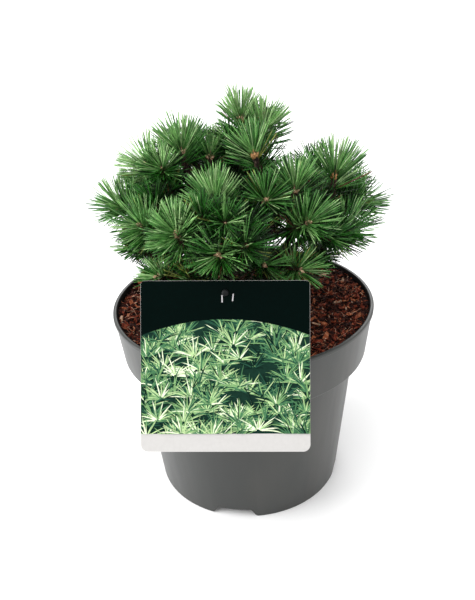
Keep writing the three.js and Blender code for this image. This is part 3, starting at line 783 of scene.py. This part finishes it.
label_lean = math.radians(LABEL.lean)
label_turn = math.radians(LABEL.turn)
label_normal = np.array([0, -math.cos(label_lean), math.sin(label_lean)])
label_level = np.array([0, math.sin(label_lean), math.cos(label_lean)])
label_up = math.cos(label_turn) * label_level + math.sin(label_turn) * np.array([1, 0, 0])
label_right = np.cross(label_up, label_normal)
label_touch = np.array([0, -POT.rim_radius, POT.height - LABEL.touches])
label_back = label_touch @ label_normal + GAP
label_offset = label_back + LABEL.thickness / 2
label_y = (label_offset - LABEL.centre_height * label_normal[2]) / label_normal[1]
label_centre = np.array([LABEL.offset, label_y, LABEL.centre_height])
label_hole = (0, LABEL.height / 2 - LABEL.hole_drop)


def on_label(places, lift):
    """Points over the card's front face, from (x, y) places about its centre."""
    places = np.atleast_2d(places)
    front = label_centre + label_normal * (LABEL.thickness / 2 + lift)
    return front + places[:, :1] * label_right + places[:, 1:] * label_up


def band_edge(x):
    """Height on the card of the lower edge of its dark band."""
    bulge = 1 - (2 * x / LABEL.width) ** 2
    return LABEL.height / 2 - mix(PRINT.band_sides, PRINT.band_middle, bulge)


def print_area(name, outline, material_name, code):
    """A printed area: a flat sheet just over the card, with the given outline."""
    points = on_label(outline, PRINT.lift)
    face = np.arange(len(points))[None, :]
    make_piece(name, points, [face], print_material(material_name, code), smooth=False)


def make_label():
    """The card's gloss, its dark band, and a generic picture of grass tufts in greens."""
    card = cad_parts["label"]
    card.data.materials.clear()
    card.data.materials.append(print_material("card_white", "#bbb9b7", spread=0.01))
    half, top = LABEL.width / 2 - PRINT.margin, LABEL.height / 2 - PRINT.margin
    strip = -LABEL.height / 2 + PRINT.strip
    edge = [(x, band_edge(x)) for x in np.linspace(-half, half, PRINT.edge_points)]
    upper = [(half, top, LABEL.top_corner), (-half, top, LABEL.top_corner)]
    beside = [(half, 0, 0), *upper, (-half, 0, 0)]  # the outer two only steer the rounding
    print_area("label_band", [*edge, *rounded(beside)[1:-1]], "print_dark", "#000907")
    picture = [(-half, strip), (half, strip), *reversed(edge)]
    print_area("label_picture", picture, "print_shade", "#132c23")
    make_tufts(half, strip)
    make_slits()


def make_tufts(half, strip):
    """Rows of grass tufts over the picture, the far ones first and a little darker."""
    kinds = [Joined() for _ in TUFTS.codes]
    random = np.random.default_rng(TUFTS.seed)
    lift = PRINT.lift
    far = LABEL.height / 2 - PRINT.band_middle - TUFTS.past_top
    for depth in np.linspace(0, 1, TUFTS.rows):
        level = mix(far, strip - TUFTS.past_foot, depth)
        for _ in range(TUFTS.in_row):
            x = random.uniform(-half, half)
            y = level + TUFTS.unevenness * random.standard_normal()
            tone = mix(*TUFTS.tones, depth) + TUFTS.tuft_jitter * random.standard_normal()
            for _ in range(TUFTS.blades):
                lift += BLADE.layer
                blade = blade_outline(np.array([x, y]), random)
                blade[:, 0] = np.clip(blade[:, 0], -half, half)
                blade[:, 1] = np.clip(blade[:, 1], strip, band_edge(blade[:, 0]))
                if np.ptp(blade[:, 1]) > BLADE.width and np.ptp(blade[:, 0]) > BLADE.narrowest:
                    own = round(tone + TUFTS.blade_jitter * random.standard_normal())
                    kind = kinds[int(np.clip(own, 0, len(kinds) - 1))]
                    kind.add(on_label(blade, lift), [np.arange(len(blade))[None, :]])
    for index, (code, kind) in enumerate(zip(TUFTS.codes, kinds)):
        material = print_material(f"print_green_{index}", code)
        kind.make(f"label_blades_{index}", material, "label", smooth=False)


def blade_outline(base, random):
    """Outline of one blade of grass that leans out of its tuft and bends over."""
    lean = math.radians(BLADE.fan) * random.uniform(-1, 1)
    length = mix(BLADE.shortest, BLADE.longest, random.random())
    shares = np.linspace(BLADE.foot, 1, BLADE.steps)
    way = lean * (1 + BLADE.droop * shares)
    steps = np.stack([np.sin(way), np.cos(way)], axis=1) * length / BLADE.steps
    middle = base + np.cumsum(steps, axis=0)
    width = 0.5 * BLADE.width * np.sqrt(1 - shares**2)[:, None]
    aside = np.stack([np.cos(way), -np.sin(way)], axis=1) * width
    return np.concatenate([middle - aside, (middle + aside)[-2::-1]])


def make_slits():
    """White strips on both sides of the peg, below its head: partly the die-cut slits' bare card
    edges, partly painted highlights on them.
    """
    slits = Joined()
    for left, drop, lean in SLITS.places:
        right, top = left + SLITS.width, label_hole[1] - drop
        foot = top - SLITS.length
        corners = [(left + lean, foot), (right + lean, foot), (right, top), (left, top)]
        slits.add(on_label(corners, 2 * PRINT.lift), [np.arange(4)[None, :]])
    slits.make("label_slits", print_material("slit_edge_and_glint", "#b3b1b4", spread=0.02), "label")


def make_peg():
    """The black peg: its rod in the soil, the pin through the card and a domed head."""
    rod_top = on_label(label_hole, -LABEL.thickness / 2)[0] - label_normal * PEG.behind
    foot = np.array([rod_top[0], rod_top[1], SOIL.edge_height - PEG.buried])
    length = rod_top[2] + PEG.pin_radius - foot[2]
    reach = PEG.behind + LABEL.thickness / 2 + GAP
    tall = reach + PEG.head_length
    rod = [
        (PEG.axis, 0, 0),
        (PEG.rod_radius, PEG.point, 0),
        (PEG.rod_radius, length, 1),
        (PEG.axis, length, 0),
    ]
    pin = [
        (PEG.axis, 0, 0),
        (PEG.pin_radius, 0, 0),
        (PEG.pin_radius, reach, 0),
        (PEG.head_radius, reach, 0.3),
        (PEG.head_radius, tall, 1.4),
        (PEG.axis, tall, 0),
    ]
    peg = Joined()
    peg.add(*lathe(rounded(rod), PEG.rod_sides, origin=foot))
    peg.add(*lathe(rounded(pin), PEG.pin_sides, origin=rod_top, axis=label_normal))
    piece = peg.make("label_pin", peg_material(), "peg", ["label_peg"])
    piece.data.set_sharp_from_angle(angle=math.radians(PEG.sharp))


# ---------------- the plant's growth rule


def make_shoots():
    """Each shoot with its bud's tip, the way it points and where its needled stem begins."""
    made = [Sizes(**dict(zip(SHOOT_COLUMNS, row))) for row in SHOOTS]
    for shoot in made:
        shoot.tip = FORK + direction(shoot.bearing, shoot.rise) * shoot.reach
        shoot.axis = direction(*shoot.aim)
        shoot.foot = shoot.tip - shoot.axis * STEM.length
    return made


shoots = make_shoots()
leader, *bough_shoots = shoots
stems = [Sizes(start=shoot.foot, end=shoot.tip, shoot=shoot, kind=STEM) for shoot in shoots]
trunk_foot = np.array([0, 0, SOIL.crown_height + GAP])
trunk_tip = leader.foot - leader.axis * GAP
TRUNK_POINTS = np.array(
    [
        trunk_foot,
        trunk_foot + np.array([0, 0, TRUNK.straight_end]),
        TRUNK.bend,
        trunk_tip - leader.axis * TRUNK.straight_end,
        trunk_tip,
    ]
)


def trunk_point(share):
    """The point on the trunk's line at a share of its stretches (centripetal Catmull-Rom)."""
    last = len(TRUNK_POINTS) - 1
    stretch = min(int(share * last), last - 1)
    before = 2 * TRUNK_POINTS[0] - TRUNK_POINTS[1]
    beyond = 2 * TRUNK_POINTS[-1] - TRUNK_POINTS[-2]
    row = np.concatenate([[before], TRUNK_POINTS, [beyond]])[stretch : stretch + 4]
    steps = np.sqrt(np.linalg.norm(np.diff(row, axis=0), axis=1))
    slopes = np.diff(row, axis=0) / steps[:, None]
    wide = (row[2:] - row[:-2]) / (steps[:-1] + steps[1:])[:, None]
    leave = (slopes[0] - wide[0] + slopes[1]) * steps[1]
    arrive = (slopes[1] - wide[1] + slopes[2]) * steps[1]
    t = share * last - stretch
    start, end = row[1], row[2]
    return (
        start
        + leave * t
        + (3 * (end - start) - 2 * leave - arrive) * t**2
        + (2 * (start - end) + leave + arrive) * t**3
    )


trunk_line = np.array([trunk_point(share) for share in np.linspace(0, 1, LINE_POINTS)])
trunk_path = spaced(trunk_line, TRUNK.steps + 1)


def bough_line(shoot, height, bend_share):
    """A bough's line from the trunk's middle to where its needled stem begins."""
    root = trunk_point((height - trunk_foot[2]) / (trunk_tip[2] - trunk_foot[2]))
    end = shoot.foot - shoot.axis * GAP
    bend = end - shoot.axis * bend_share * np.linalg.norm(end - root)
    t = np.linspace(0, 1, LINE_POINTS)[:, None]
    return (1 - t) ** 2 * root + 2 * t * (1 - t) * bend + t**2 * end


def bough_lines(shoot):
    """The lines that a bough may take, those nearest to the height its rise asks for first."""
    rules = BRANCHING
    share = (shoot.rise - rules.low_rise) / (rules.high_rise - rules.low_rise)
    wanted = mix(rules.low, rules.high, share)
    lines = []
    for index in range(2 * rules.steps + 1):
        shift = math.ceil(index / 2) * (1 if index % 2 else -1) * rules.height_step
        height = min(max(wanted + shift, rules.low), rules.high)
        lines += [bough_line(shoot, height, share) for share in rules.bends]
    return lines


def to_nearest_stem(points, chosen):
    """Distance from each point to the nearest of the chosen stems."""
    starts = np.array([stem.start for stem in chosen])
    ends = np.array([stem.end for stem in chosen])
    return distances(points, starts, ends).min(axis=1)


def space_round(line, shoot, laid):
    """Least space between a line outside the trunk and the other stems and boughs."""
    points = spaced(line, BOUGH.path_steps + 1)
    points = points[distance_to_path(points, trunk_path) > TRUNK.stem_radius]
    if not len(points):
        return math.inf
    others = [stem for stem in stems if stem.shoot is not shoot]
    spaces = [to_nearest_stem(points, others).min() - BUD.radius]
    spaces += [distance_to_path(points, path).min() - BOUGH.foot_radius for path in laid]
    return min(spaces) - BOUGH.foot_radius


def lay_out_boughs():
    """Lays each bough along the first line with room round it, or the one with most room."""
    laid = []
    for shoot in bough_shoots:
        lines = bough_lines(shoot)
        spaces = [space_round(line, shoot, laid) for line in lines]
        free = [index for index, space in enumerate(spaces) if space > CLEARANCE.limb]
        chosen = free[0] if free else int(np.argmax(spaces))
        shoot.line = lines[chosen]
        shoot.path = spaced(shoot.line, BOUGH.path_steps + 1)
        laid.append(shoot.path)


lay_out_boughs()


def clear_of_pot(points, clear):
    """Which points are clear of the soil, the pot's wall, the label and its peg."""
    radius = np.hypot(points[:, 0], points[:, 1])
    height = points[:, 2]
    in_wall = (height < POT.height + clear) & (radius > inner_mouth_radius - clear)
    label_top = LABEL.centre_height + LABEL.height / 2
    in_label = (height < label_top + clear) & (points @ label_normal > label_back - clear)
    in_soil = height < SOIL.crown_height + CLEARANCE.soil
    return ~(in_wall | in_label | in_soil)


def clear_of_limbs(points, shoot, clear):
    """Which points are clear of the trunk and of every bough; `shoot` may touch its own."""
    free = distance_to_path(points, trunk_path) > TRUNK.stem_radius + clear
    for other in bough_shoots:
        limit = BOUGH.foot_radius + (0 if other is shoot else clear)
        free &= distance_to_path(points, other.path) > limit
    return free


def twig_has_room(start, end, shoot):
    """Whether a twig has room round it, up to half a needle's length at its end."""
    for share in TWIG.tested:
        point = mix(start, end, share)[None]
        room = share * NEEDLE.length / 2
        if to_nearest_stem(point, stems)[0] <= room:
            return False
        if not (clear_of_pot(point, room) & clear_of_limbs(point, shoot, room))[0]:
            return False
    return True


def spur_has_room(_, end, shoot):
    """Whether a spur's end has room, asking for less, and stays inside the crown."""
    others = [stem for stem in stems if stem.shoot is not shoot or stem.kind is not STEM]
    free = clear_of_pot(end[None], SPUR.pot_clear)
    free &= clear_of_limbs(end[None], shoot, SPUR.limb_clear)
    free &= to_nearest_stem(end[None], others) > SPUR.apart * NEEDLE.length
    return free[0] and inside_crown(end)


def grow_side_stems(shoot, kind, count, draw, has_room):
    """Side stems grow from the main stem wherever the rule's draws find room for them."""
    grown = 0
    for _ in range(kind.tries):
        if grown == count:
            return
        start = mix(shoot.foot, shoot.tip, mix(kind.start, kind.end, draw()))
        spread = math.radians(mix(kind.min_spread, kind.max_spread, draw()))
        way = leaning_from(shoot.axis, spread, 2 * math.pi * draw())[0]
        end = start + way * STEM.length * kind.share
        if has_room(start, end, shoot):
            stems.append(Sizes(start=start, end=end, shoot=shoot, kind=kind))
            grown += 1


def inside_crown(point):
    """Whether a spur's end stays inside the reach of the main shoots near it."""
    away = point - FORK
    tips = np.array([shoot.tip for shoot in shoots]) - FORK
    nearest = np.argsort(unit(tips) @ unit(away))[-SPUR.neighbours :]
    limit = np.linalg.norm(tips[nearest], axis=1).min()
    return np.linalg.norm(away) < limit - SPUR.inside


for index, shoot in enumerate(shoots):
    draw = seeded_random(TWIG.seed + index).__next__
    grow_side_stems(shoot, TWIG, shoot.twigs, draw, twig_has_room)
for index, shoot in enumerate(shoots):
    if not SPUR.open_bearings[0] < shoot.bearing < SPUR.open_bearings[1]:
        draw = np.random.default_rng(SPUR.seed + index).random
        grow_side_stems(shoot, SPUR, SPUR.count, draw, spur_has_room)

# ---------------- bark and buds


def scales(rings, sides, pitch):
    """Relief of scales, 0 to 1, that wind up a tube five one way and eight the other."""
    turn = turns_of(sides)
    up = np.arange(rings)[:, None] * pitch
    fives = 0.5 + 0.5 * np.cos(5 * turn + up)
    eights = 0.5 + 0.5 * np.cos(8 * turn - 8 / 5 * up)
    return fives * eights


def flakes(points, size):
    """Relief of bark plates, 0 in the cracks to 1 on the plates, at each point."""
    heights = []
    for x, y, z in points:
        near = noise.voronoi(Vector((x / size, y / size, z / (size * PLATES.height))))[0]
        heights.append(min(1.0, PLATES.steepness * (near[1] - near[0])))
    return np.array(heights)


def barked(path, radii, relief, size):
    """A swept limb whose surface is raised into plates of bark."""
    points, faces = sweep(path, radii)
    rings, sides = radii.shape
    raised = flakes(points[: rings * sides], size).reshape(rings, sides)
    return sweep(path, radii * (1 + relief * (raised - 0.5)))[0], faces


def make_trunk():
    """The trunk with its root flare and flaky bark."""
    share = np.linspace(0, 1, TRUNK.rings)[:, None]
    taper = mix(TRUNK.stem_radius, TRUNK.tip_radius, share)
    flare = (TRUNK.flare_radius - TRUNK.stem_radius) * (1 - share / TRUNK.flare_share).clip(0) ** 2
    turn = TRUNK.buttresses * turns_of(TRUNK.sides) + TRUNK.buttress_turn
    radii = taper + flare * (1 + TRUNK.buttress_depth * np.cos(turn))
    bark = bark_material("bark_grey", "#1c1410", "#4a3830", "#83736a", 420)
    points, faces = barked(spaced(trunk_line, TRUNK.rings), radii, TRUNK.relief, TRUNK.plate)
    make_piece("trunk_bark", points, faces, bark, ["trunk"])


def make_boughs():
    """The boughs, rough with the seats of fallen needles."""
    boughs = Joined()
    taper = mix(BOUGH.foot_radius, BOUGH.tip_radius, np.linspace(0, 1, BOUGH.rings))[:, None]
    seats = scales(BOUGH.rings, BOUGH.sides, BOUGH.pitch)
    radii = taper * (BOUGH.slimness + 2 * BOUGH.relief * seats)
    for shoot in bough_shoots:
        boughs.add(*barked(spaced(shoot.line, BOUGH.rings), radii, BOUGH.relief, BOUGH.plate))
    bark = bark_material("bark_dark", "#120c09", "#382822", "#72594a", 620)
    nodes = [f"bough_{shoot.name}" for shoot in bough_shoots]
    boughs.make("boughs_bark", bark, "twig_bark", nodes)


def stem_length(stem):
    """Length of a stem."""
    return np.linalg.norm(stem.end - stem.start)


def make_stems():
    """Shoot stems and twigs: dark, scaly rods that taper up to their buds."""
    joined = Joined()
    for stem in stems:
        rings = round(stem_length(stem) * STEM.rings_each_mm)
        share = np.linspace(0, 1, rings)[:, None]
        path = stem.start + share * (stem.end - stem.start) * STEM.up_to
        foot_share, tip_share = STEM.taper
        taper = stem.kind.thickness * mix(STEM.radius * foot_share, STEM.radius * tip_share, share)
        radii = taper * (STEM.slimness + STEM.relief * scales(rings, STEM.sides, STEM.pitch))
        joined.add(*sweep(path, radii))
    bark = bark_material("twig_dark", "#0a0706", "#2b1f19", "#8a7667", 900)
    joined.make("shoot_stems", bark, "twig_bark")


def bud(start, axis, length, radius):
    """An ovoid bud with spiral scales."""
    share = np.linspace(BUD.foot, 1, BUD.rings)[:, None]
    ovoid = radius * np.sin(math.pi * share**BUD.belly) ** BUD.fullness + BUD.tip
    radii = ovoid * (BUD.slimness + BUD.relief * scales(BUD.rings, BUD.sides, BUD.pitch))
    return sweep(start + share * length * axis, radii)


def make_buds():
    """A bud on every stem's tip, with a few small ones round those of the main shoots."""
    kinds = {kind: Joined() for kind in BUD_CODES}
    random = np.random.default_rng(BUD.seed)
    small = BUD.small
    for stem in stems:
        axis = unit(stem.end - stem.start)
        light = np.interp(stem.shoot.reach, NEEDLE.shaded_reach, BUD.shaded)
        length = BUD.length * stem.kind.bud * light
        radius = BUD.radius * BUD.main * stem.kind.bud * light
        foot = stem.end - axis * length
        kind = kinds[stem.shoot.bud]
        kind.add(*bud(foot, axis, length, radius))
        if stem.kind is not STEM:
            continue
        for index in range(random.integers(small.least, small.most + 1)):
            turn = small.turn * index + random.random()
            way = leaning_from(axis, math.radians(small.spread), turn)[0]
            kind.add(*bud(foot, way, length * small.length, BUD.radius * small.radius * light))
    for kind, joined in kinds.items():
        material = bud_material(f"bud_{kind}", *BUD_CODES[kind])
        joined.make(f"buds_{kind}", material, "twig_bark")


# ---------------- needles


def needle_lines(stem, random):
    """Root, line and side of every needle of one stem, in pairs wound by the golden angle, and
    how far up the needled stretch it stands."""
    axis = unit(stem.end - stem.start)
    length = stem_length(stem)
    rise = math.degrees(math.asin(axis[2]))
    ends = (NEEDLE.first_at, NEEDLE.last_at, NEEDLE.low_spread, NEEDLE.top_spread)
    first, last, low, top = (np.interp(rise, NEEDLE.upright, pair) for pair in ends)
    kept = np.interp(stem.shoot.reach, NEEDLE.shaded_reach, NEEDLE.shaded)
    count = round(length * NEEDLE.pairs_each_mm * kept)
    index = np.arange(count)
    share = (index + 0.5) / count
    height = mix(first, last, share**NEEDLE.crowding)
    jitter = math.radians(NEEDLE.angle_jitter) * random.uniform(-1, 1, count)
    spread = np.radians(mix(low, top, share)) + jitter
    turn = GOLDEN_ANGLE * index + NEEDLE.turn_jitter * random.standard_normal(count)
    way = unit(leaning_from(axis, spread, turn) + np.array([0, 0, NEEDLE.lift]))
    roots = stem.start + height[:, None] * length * axis
    if rise > NEEDLE.bare.rise:
        fallen = (share < NEEDLE.bare.below) & (way[:, 1] < -NEEDLE.bare.ahead)
        fallen &= random.random(count) < NEEDLE.bare.chance
        share, way, roots = share[~fallen], way[~fallen], roots[~fallen]
        count = len(share)
    aside = unit(np.cross(way, random.standard_normal((count, 3))))
    part = math.tan(math.radians(NEEDLE.parting)) * aside
    shorter = 1 - NEEDLE.length_jitter * random.random(count) ** 2
    shorter *= 1 + NEEDLE.hanging * np.minimum(way[:, 2], 0)
    lengths = stem.kind.needle * stem.shoot.needle * NEEDLE.length * shorter
    partners = lengths * mix(*NEEDLE.partner, random.random(count))
    both = unit(np.concatenate([way + part, way - part]))
    return (
        np.concatenate([roots, roots]),
        both * np.concatenate([lengths, partners])[:, None],
        np.concatenate([aside, -aside]),
        np.concatenate([share, share]),
    )


def keeps_to_its_space(roots, lines, stem):
    """Which needles keep near their own stem's space and clear of all else."""
    kept = np.ones(len(roots), bool)
    others = [other for other in stems if other.shoot is not stem.shoot]
    for share in NEEDLE.tested:
        points = roots + share * lines
        own, nearest = to_nearest_stem(points, [stem]), to_nearest_stem(points, others)
        kept &= (nearest > own - NEEDLE.trespass) & (nearest > STEM.radius + NEEDLE.radius)
        kept &= clear_of_pot(points, CLEARANCE.needle)
        kept &= clear_of_limbs(points, stem.shoot, CLEARANCE.needle)
    return kept


def fitted(roots, lines, stem):
    """The needles' lines at the greatest length that fits, and which of them fit at all."""
    fits = np.zeros(len(roots))
    for share in NEEDLE.shares:
        waiting = fits == 0
        if waiting.any():
            kept = keeps_to_its_space(roots[waiting], lines[waiting] * share, stem)
            fits[waiting] = np.where(kept, share, 0)
    return lines * fits[:, None], fits > 0


def square_to(ways, asides):
    """The part of each sideways direction that is square to its way, at length one."""
    return unit(asides - ways * (asides * ways).sum(1, keepdims=True))


def three_sided(middles, radii, ways, across):
    """Corners of many three-sided rods at once, from the middles and radii of their rings."""
    over = np.cross(ways, across)
    corners = [across * math.cos(turn) + over * math.sin(turn) for turn in turns_of(3)]
    return [place + radius * corner for place, radius in zip(middles, radii) for corner in corners]


def rod_faces(rings, ends, count):
    """Faces of `count` three-sided rods: quads between the rings, and triangles at the ends."""
    step = max(map(max, ends)) + 1
    quads, *_ = tube_faces(rings, 3)
    return [repeated(quads, step, count), repeated(ends, step, count)]


def needle_mesh(roots, lines, asides, random):
    """Points and faces of slim three-sided needles, bowed a little to one side."""
    count = len(roots)
    length = np.linalg.norm(lines, axis=1)
    ways = lines / length[:, None]
    across = square_to(ways, asides)
    bow = across * (NEEDLE.bow * random.standard_normal(count) * length / NEEDLE.length)[:, None]
    thick = NEEDLE.radius * mix(*NEEDLE.thickness, random.random(count))[:, None]
    middles = [roots + at * lines + 4 * at * (1 - at) * bow for at in NEEDLE.ring_shares]
    radii = [radius * thick for radius in NEEDLE.ring_radii]
    rings = [*three_sided(middles, radii, ways, across), roots + lines]
    ends = [(6, 7, 9), (7, 8, 9), (8, 6, 9), (2, 1, 0)]
    return np.stack(rings, axis=1).reshape(-1, 3), rod_faces(len(middles), ends, count)


def sheath_mesh(roots, ways, asides):
    """Points and faces of the short papery sheath round the foot of each pair."""
    middles = [roots, roots + SHEATH.length * ways]
    radii = [SHEATH.radius * width for width in SHEATH.widths]
    rings = three_sided(middles, radii, ways, square_to(ways, asides))
    ends = [(2, 1, 0), (3, 4, 5)]
    return np.stack(rings, axis=1).reshape(-1, 3), rod_faces(len(middles), ends, len(roots))


def pick_tones(stem, share, rises, random):
    """Index of a colour for each pair: the shoot's tone, darker where less light falls."""
    pairs = len(share) // 2
    share, rises = share[:pairs], rises[:pairs]
    # painted shade: darker further in, on twigs and spurs and on hanging pairs; painted light on
    # rising ones
    tone = stem.shoot.tone - stem.kind.darker - SHADE.inner * (1 - share)
    tone += SHADE.jitter * random.standard_normal(pairs)
    tone += np.where(rises > 0, SHADE.rising, SHADE.hanging) * rises
    last = len(NEEDLE_TONES) - 1
    index = np.clip(np.round(tone * last + SHADE.offset), 0, last).astype(int)
    # a few pairs painted a step brighter as glints: painted highlights
    chance = random.random(pairs)
    glossy = (chance > SHADE.dead) & (chance < SHADE.glossy)
    index[glossy] = np.clip(index[glossy] + 1, last - 1, last)
    index[(chance < SHADE.dead) & (share < SHADE.dead_below)] = last + 2
    low = stem.end[2] < SOIL.crown_height + SHADE.low
    aged = chance > (SHADE.old_low if low else SHADE.old_high)
    index[aged & (share < SHADE.old_below)] = last + 1
    return np.concatenate([index, index])


def make_needles():
    """All needles, dealt by colour into joined pieces that stand for the solid masses."""
    random = np.random.default_rng(NEEDLE.seed)
    codes = {f"needles_tone_{index}": code for index, code in enumerate(NEEDLE_TONES)}
    codes |= {"needles_last_year": OLD_TONE, "needles_dry": DRY_TONE}
    kinds = [Joined() for _ in codes]
    sheaths = Joined()
    for stem in stems:
        roots, lines, asides, share = needle_lines(stem, random)
        tones = pick_tones(stem, share, unit(lines)[:, 2], random)
        lines, fits = fitted(roots, lines, stem)
        first = fits & (np.arange(len(fits)) < len(fits) // 2)
        sheaths.add(*sheath_mesh(roots[first], unit(lines[first]), asides[first]))
        for index, kind in enumerate(kinds):
            dealt = fits & (tones == index)
            if dealt.any():
                kind.add(*needle_mesh(roots[dealt], lines[dealt], asides[dealt], random))
    nodes = [f"needles_{shoot.name}" for shoot in shoots]
    for kind, (name, code) in zip(kinds, codes.items()):
        kind.make(name, needle_material(name, code), "needles", nodes)
    papery = bark_material("sheath_brown", "#1f150e", "#4a3626", "#857258", 900)
    sheaths.make("needle_sheaths", papery, "needles")


# ---------------- stage, light and camera


def make_stage():
    """A plain pale floor, wide enough to fill the view."""
    half = FLOOR_WIDTH / 2
    corners = [(-half, -half, 0), (half, -half, 0), (half, half, 0), (-half, half, 0)]
    floor = make_object("floor", corners, [[(0, 1, 2, 3)]])
    floor.data.materials.append(floor_material())


def make_light(name, kind, power, place):
    """A light at a place, turned to the plant's middle."""
    data = bpy.data.lights.new(name, kind)
    data.energy = power
    if kind == "SUN":
        data.angle = math.radians(LIT.sun_angle)
    else:
        data.shape = "RECTANGLE"
        data.size = LIT.panel_width
        data.size_y = LIT.panel_height
    light = placed(name, data)
    light.location = place
    way = Vector(LIT.middle) - Vector(place)
    light.rotation_euler = way.to_track_quat("-Z", "Y").to_euler()


def make_lights():
    """Soft studio light: a pale surround, a broad key from the upper left and a low fill."""
    world = bpy.data.worlds.new("studio")
    world.use_nodes = True
    background = world.node_tree.nodes["Background"]
    background.inputs["Color"].default_value = (1, 1, 1, 1)
    background.inputs["Strength"].default_value = 1.0
    bpy.context.scene.world = world
    for name, row in LIGHTS.items():
        make_light(name, *row)


def make_camera():
    """The camera, at the place and angle that the view was taken from."""
    data = bpy.data.cameras.new("camera")
    data.lens = CAMERA.lens
    data.sensor_width = CAMERA.sensor
    data.clip_end = CAMERA.sight * MM
    camera = placed("camera", data)
    turn = Matrix.Rotation(math.radians(CAMERA.turn), 4, "Z")
    dip = Matrix.Rotation(math.radians(90 - CAMERA.dip), 4, "X")
    roll = Matrix.Rotation(math.radians(CAMERA.roll), 4, "Z")
    camera.matrix_world = Matrix.Translation(Vector(CAMERA.place) * MM) @ turn @ dip @ roll
    bpy.context.scene.camera = camera


# ---------------- the scene

make_pot()
make_soil_ground()
make_chips()
make_fibres()
make_label()
make_peg()
make_trunk()
make_boughs()
make_stems()
make_buds()
make_needles()
make_stage()
make_lights()
make_camera()
bpy.context.scene.view_settings.view_transform = "Standard"
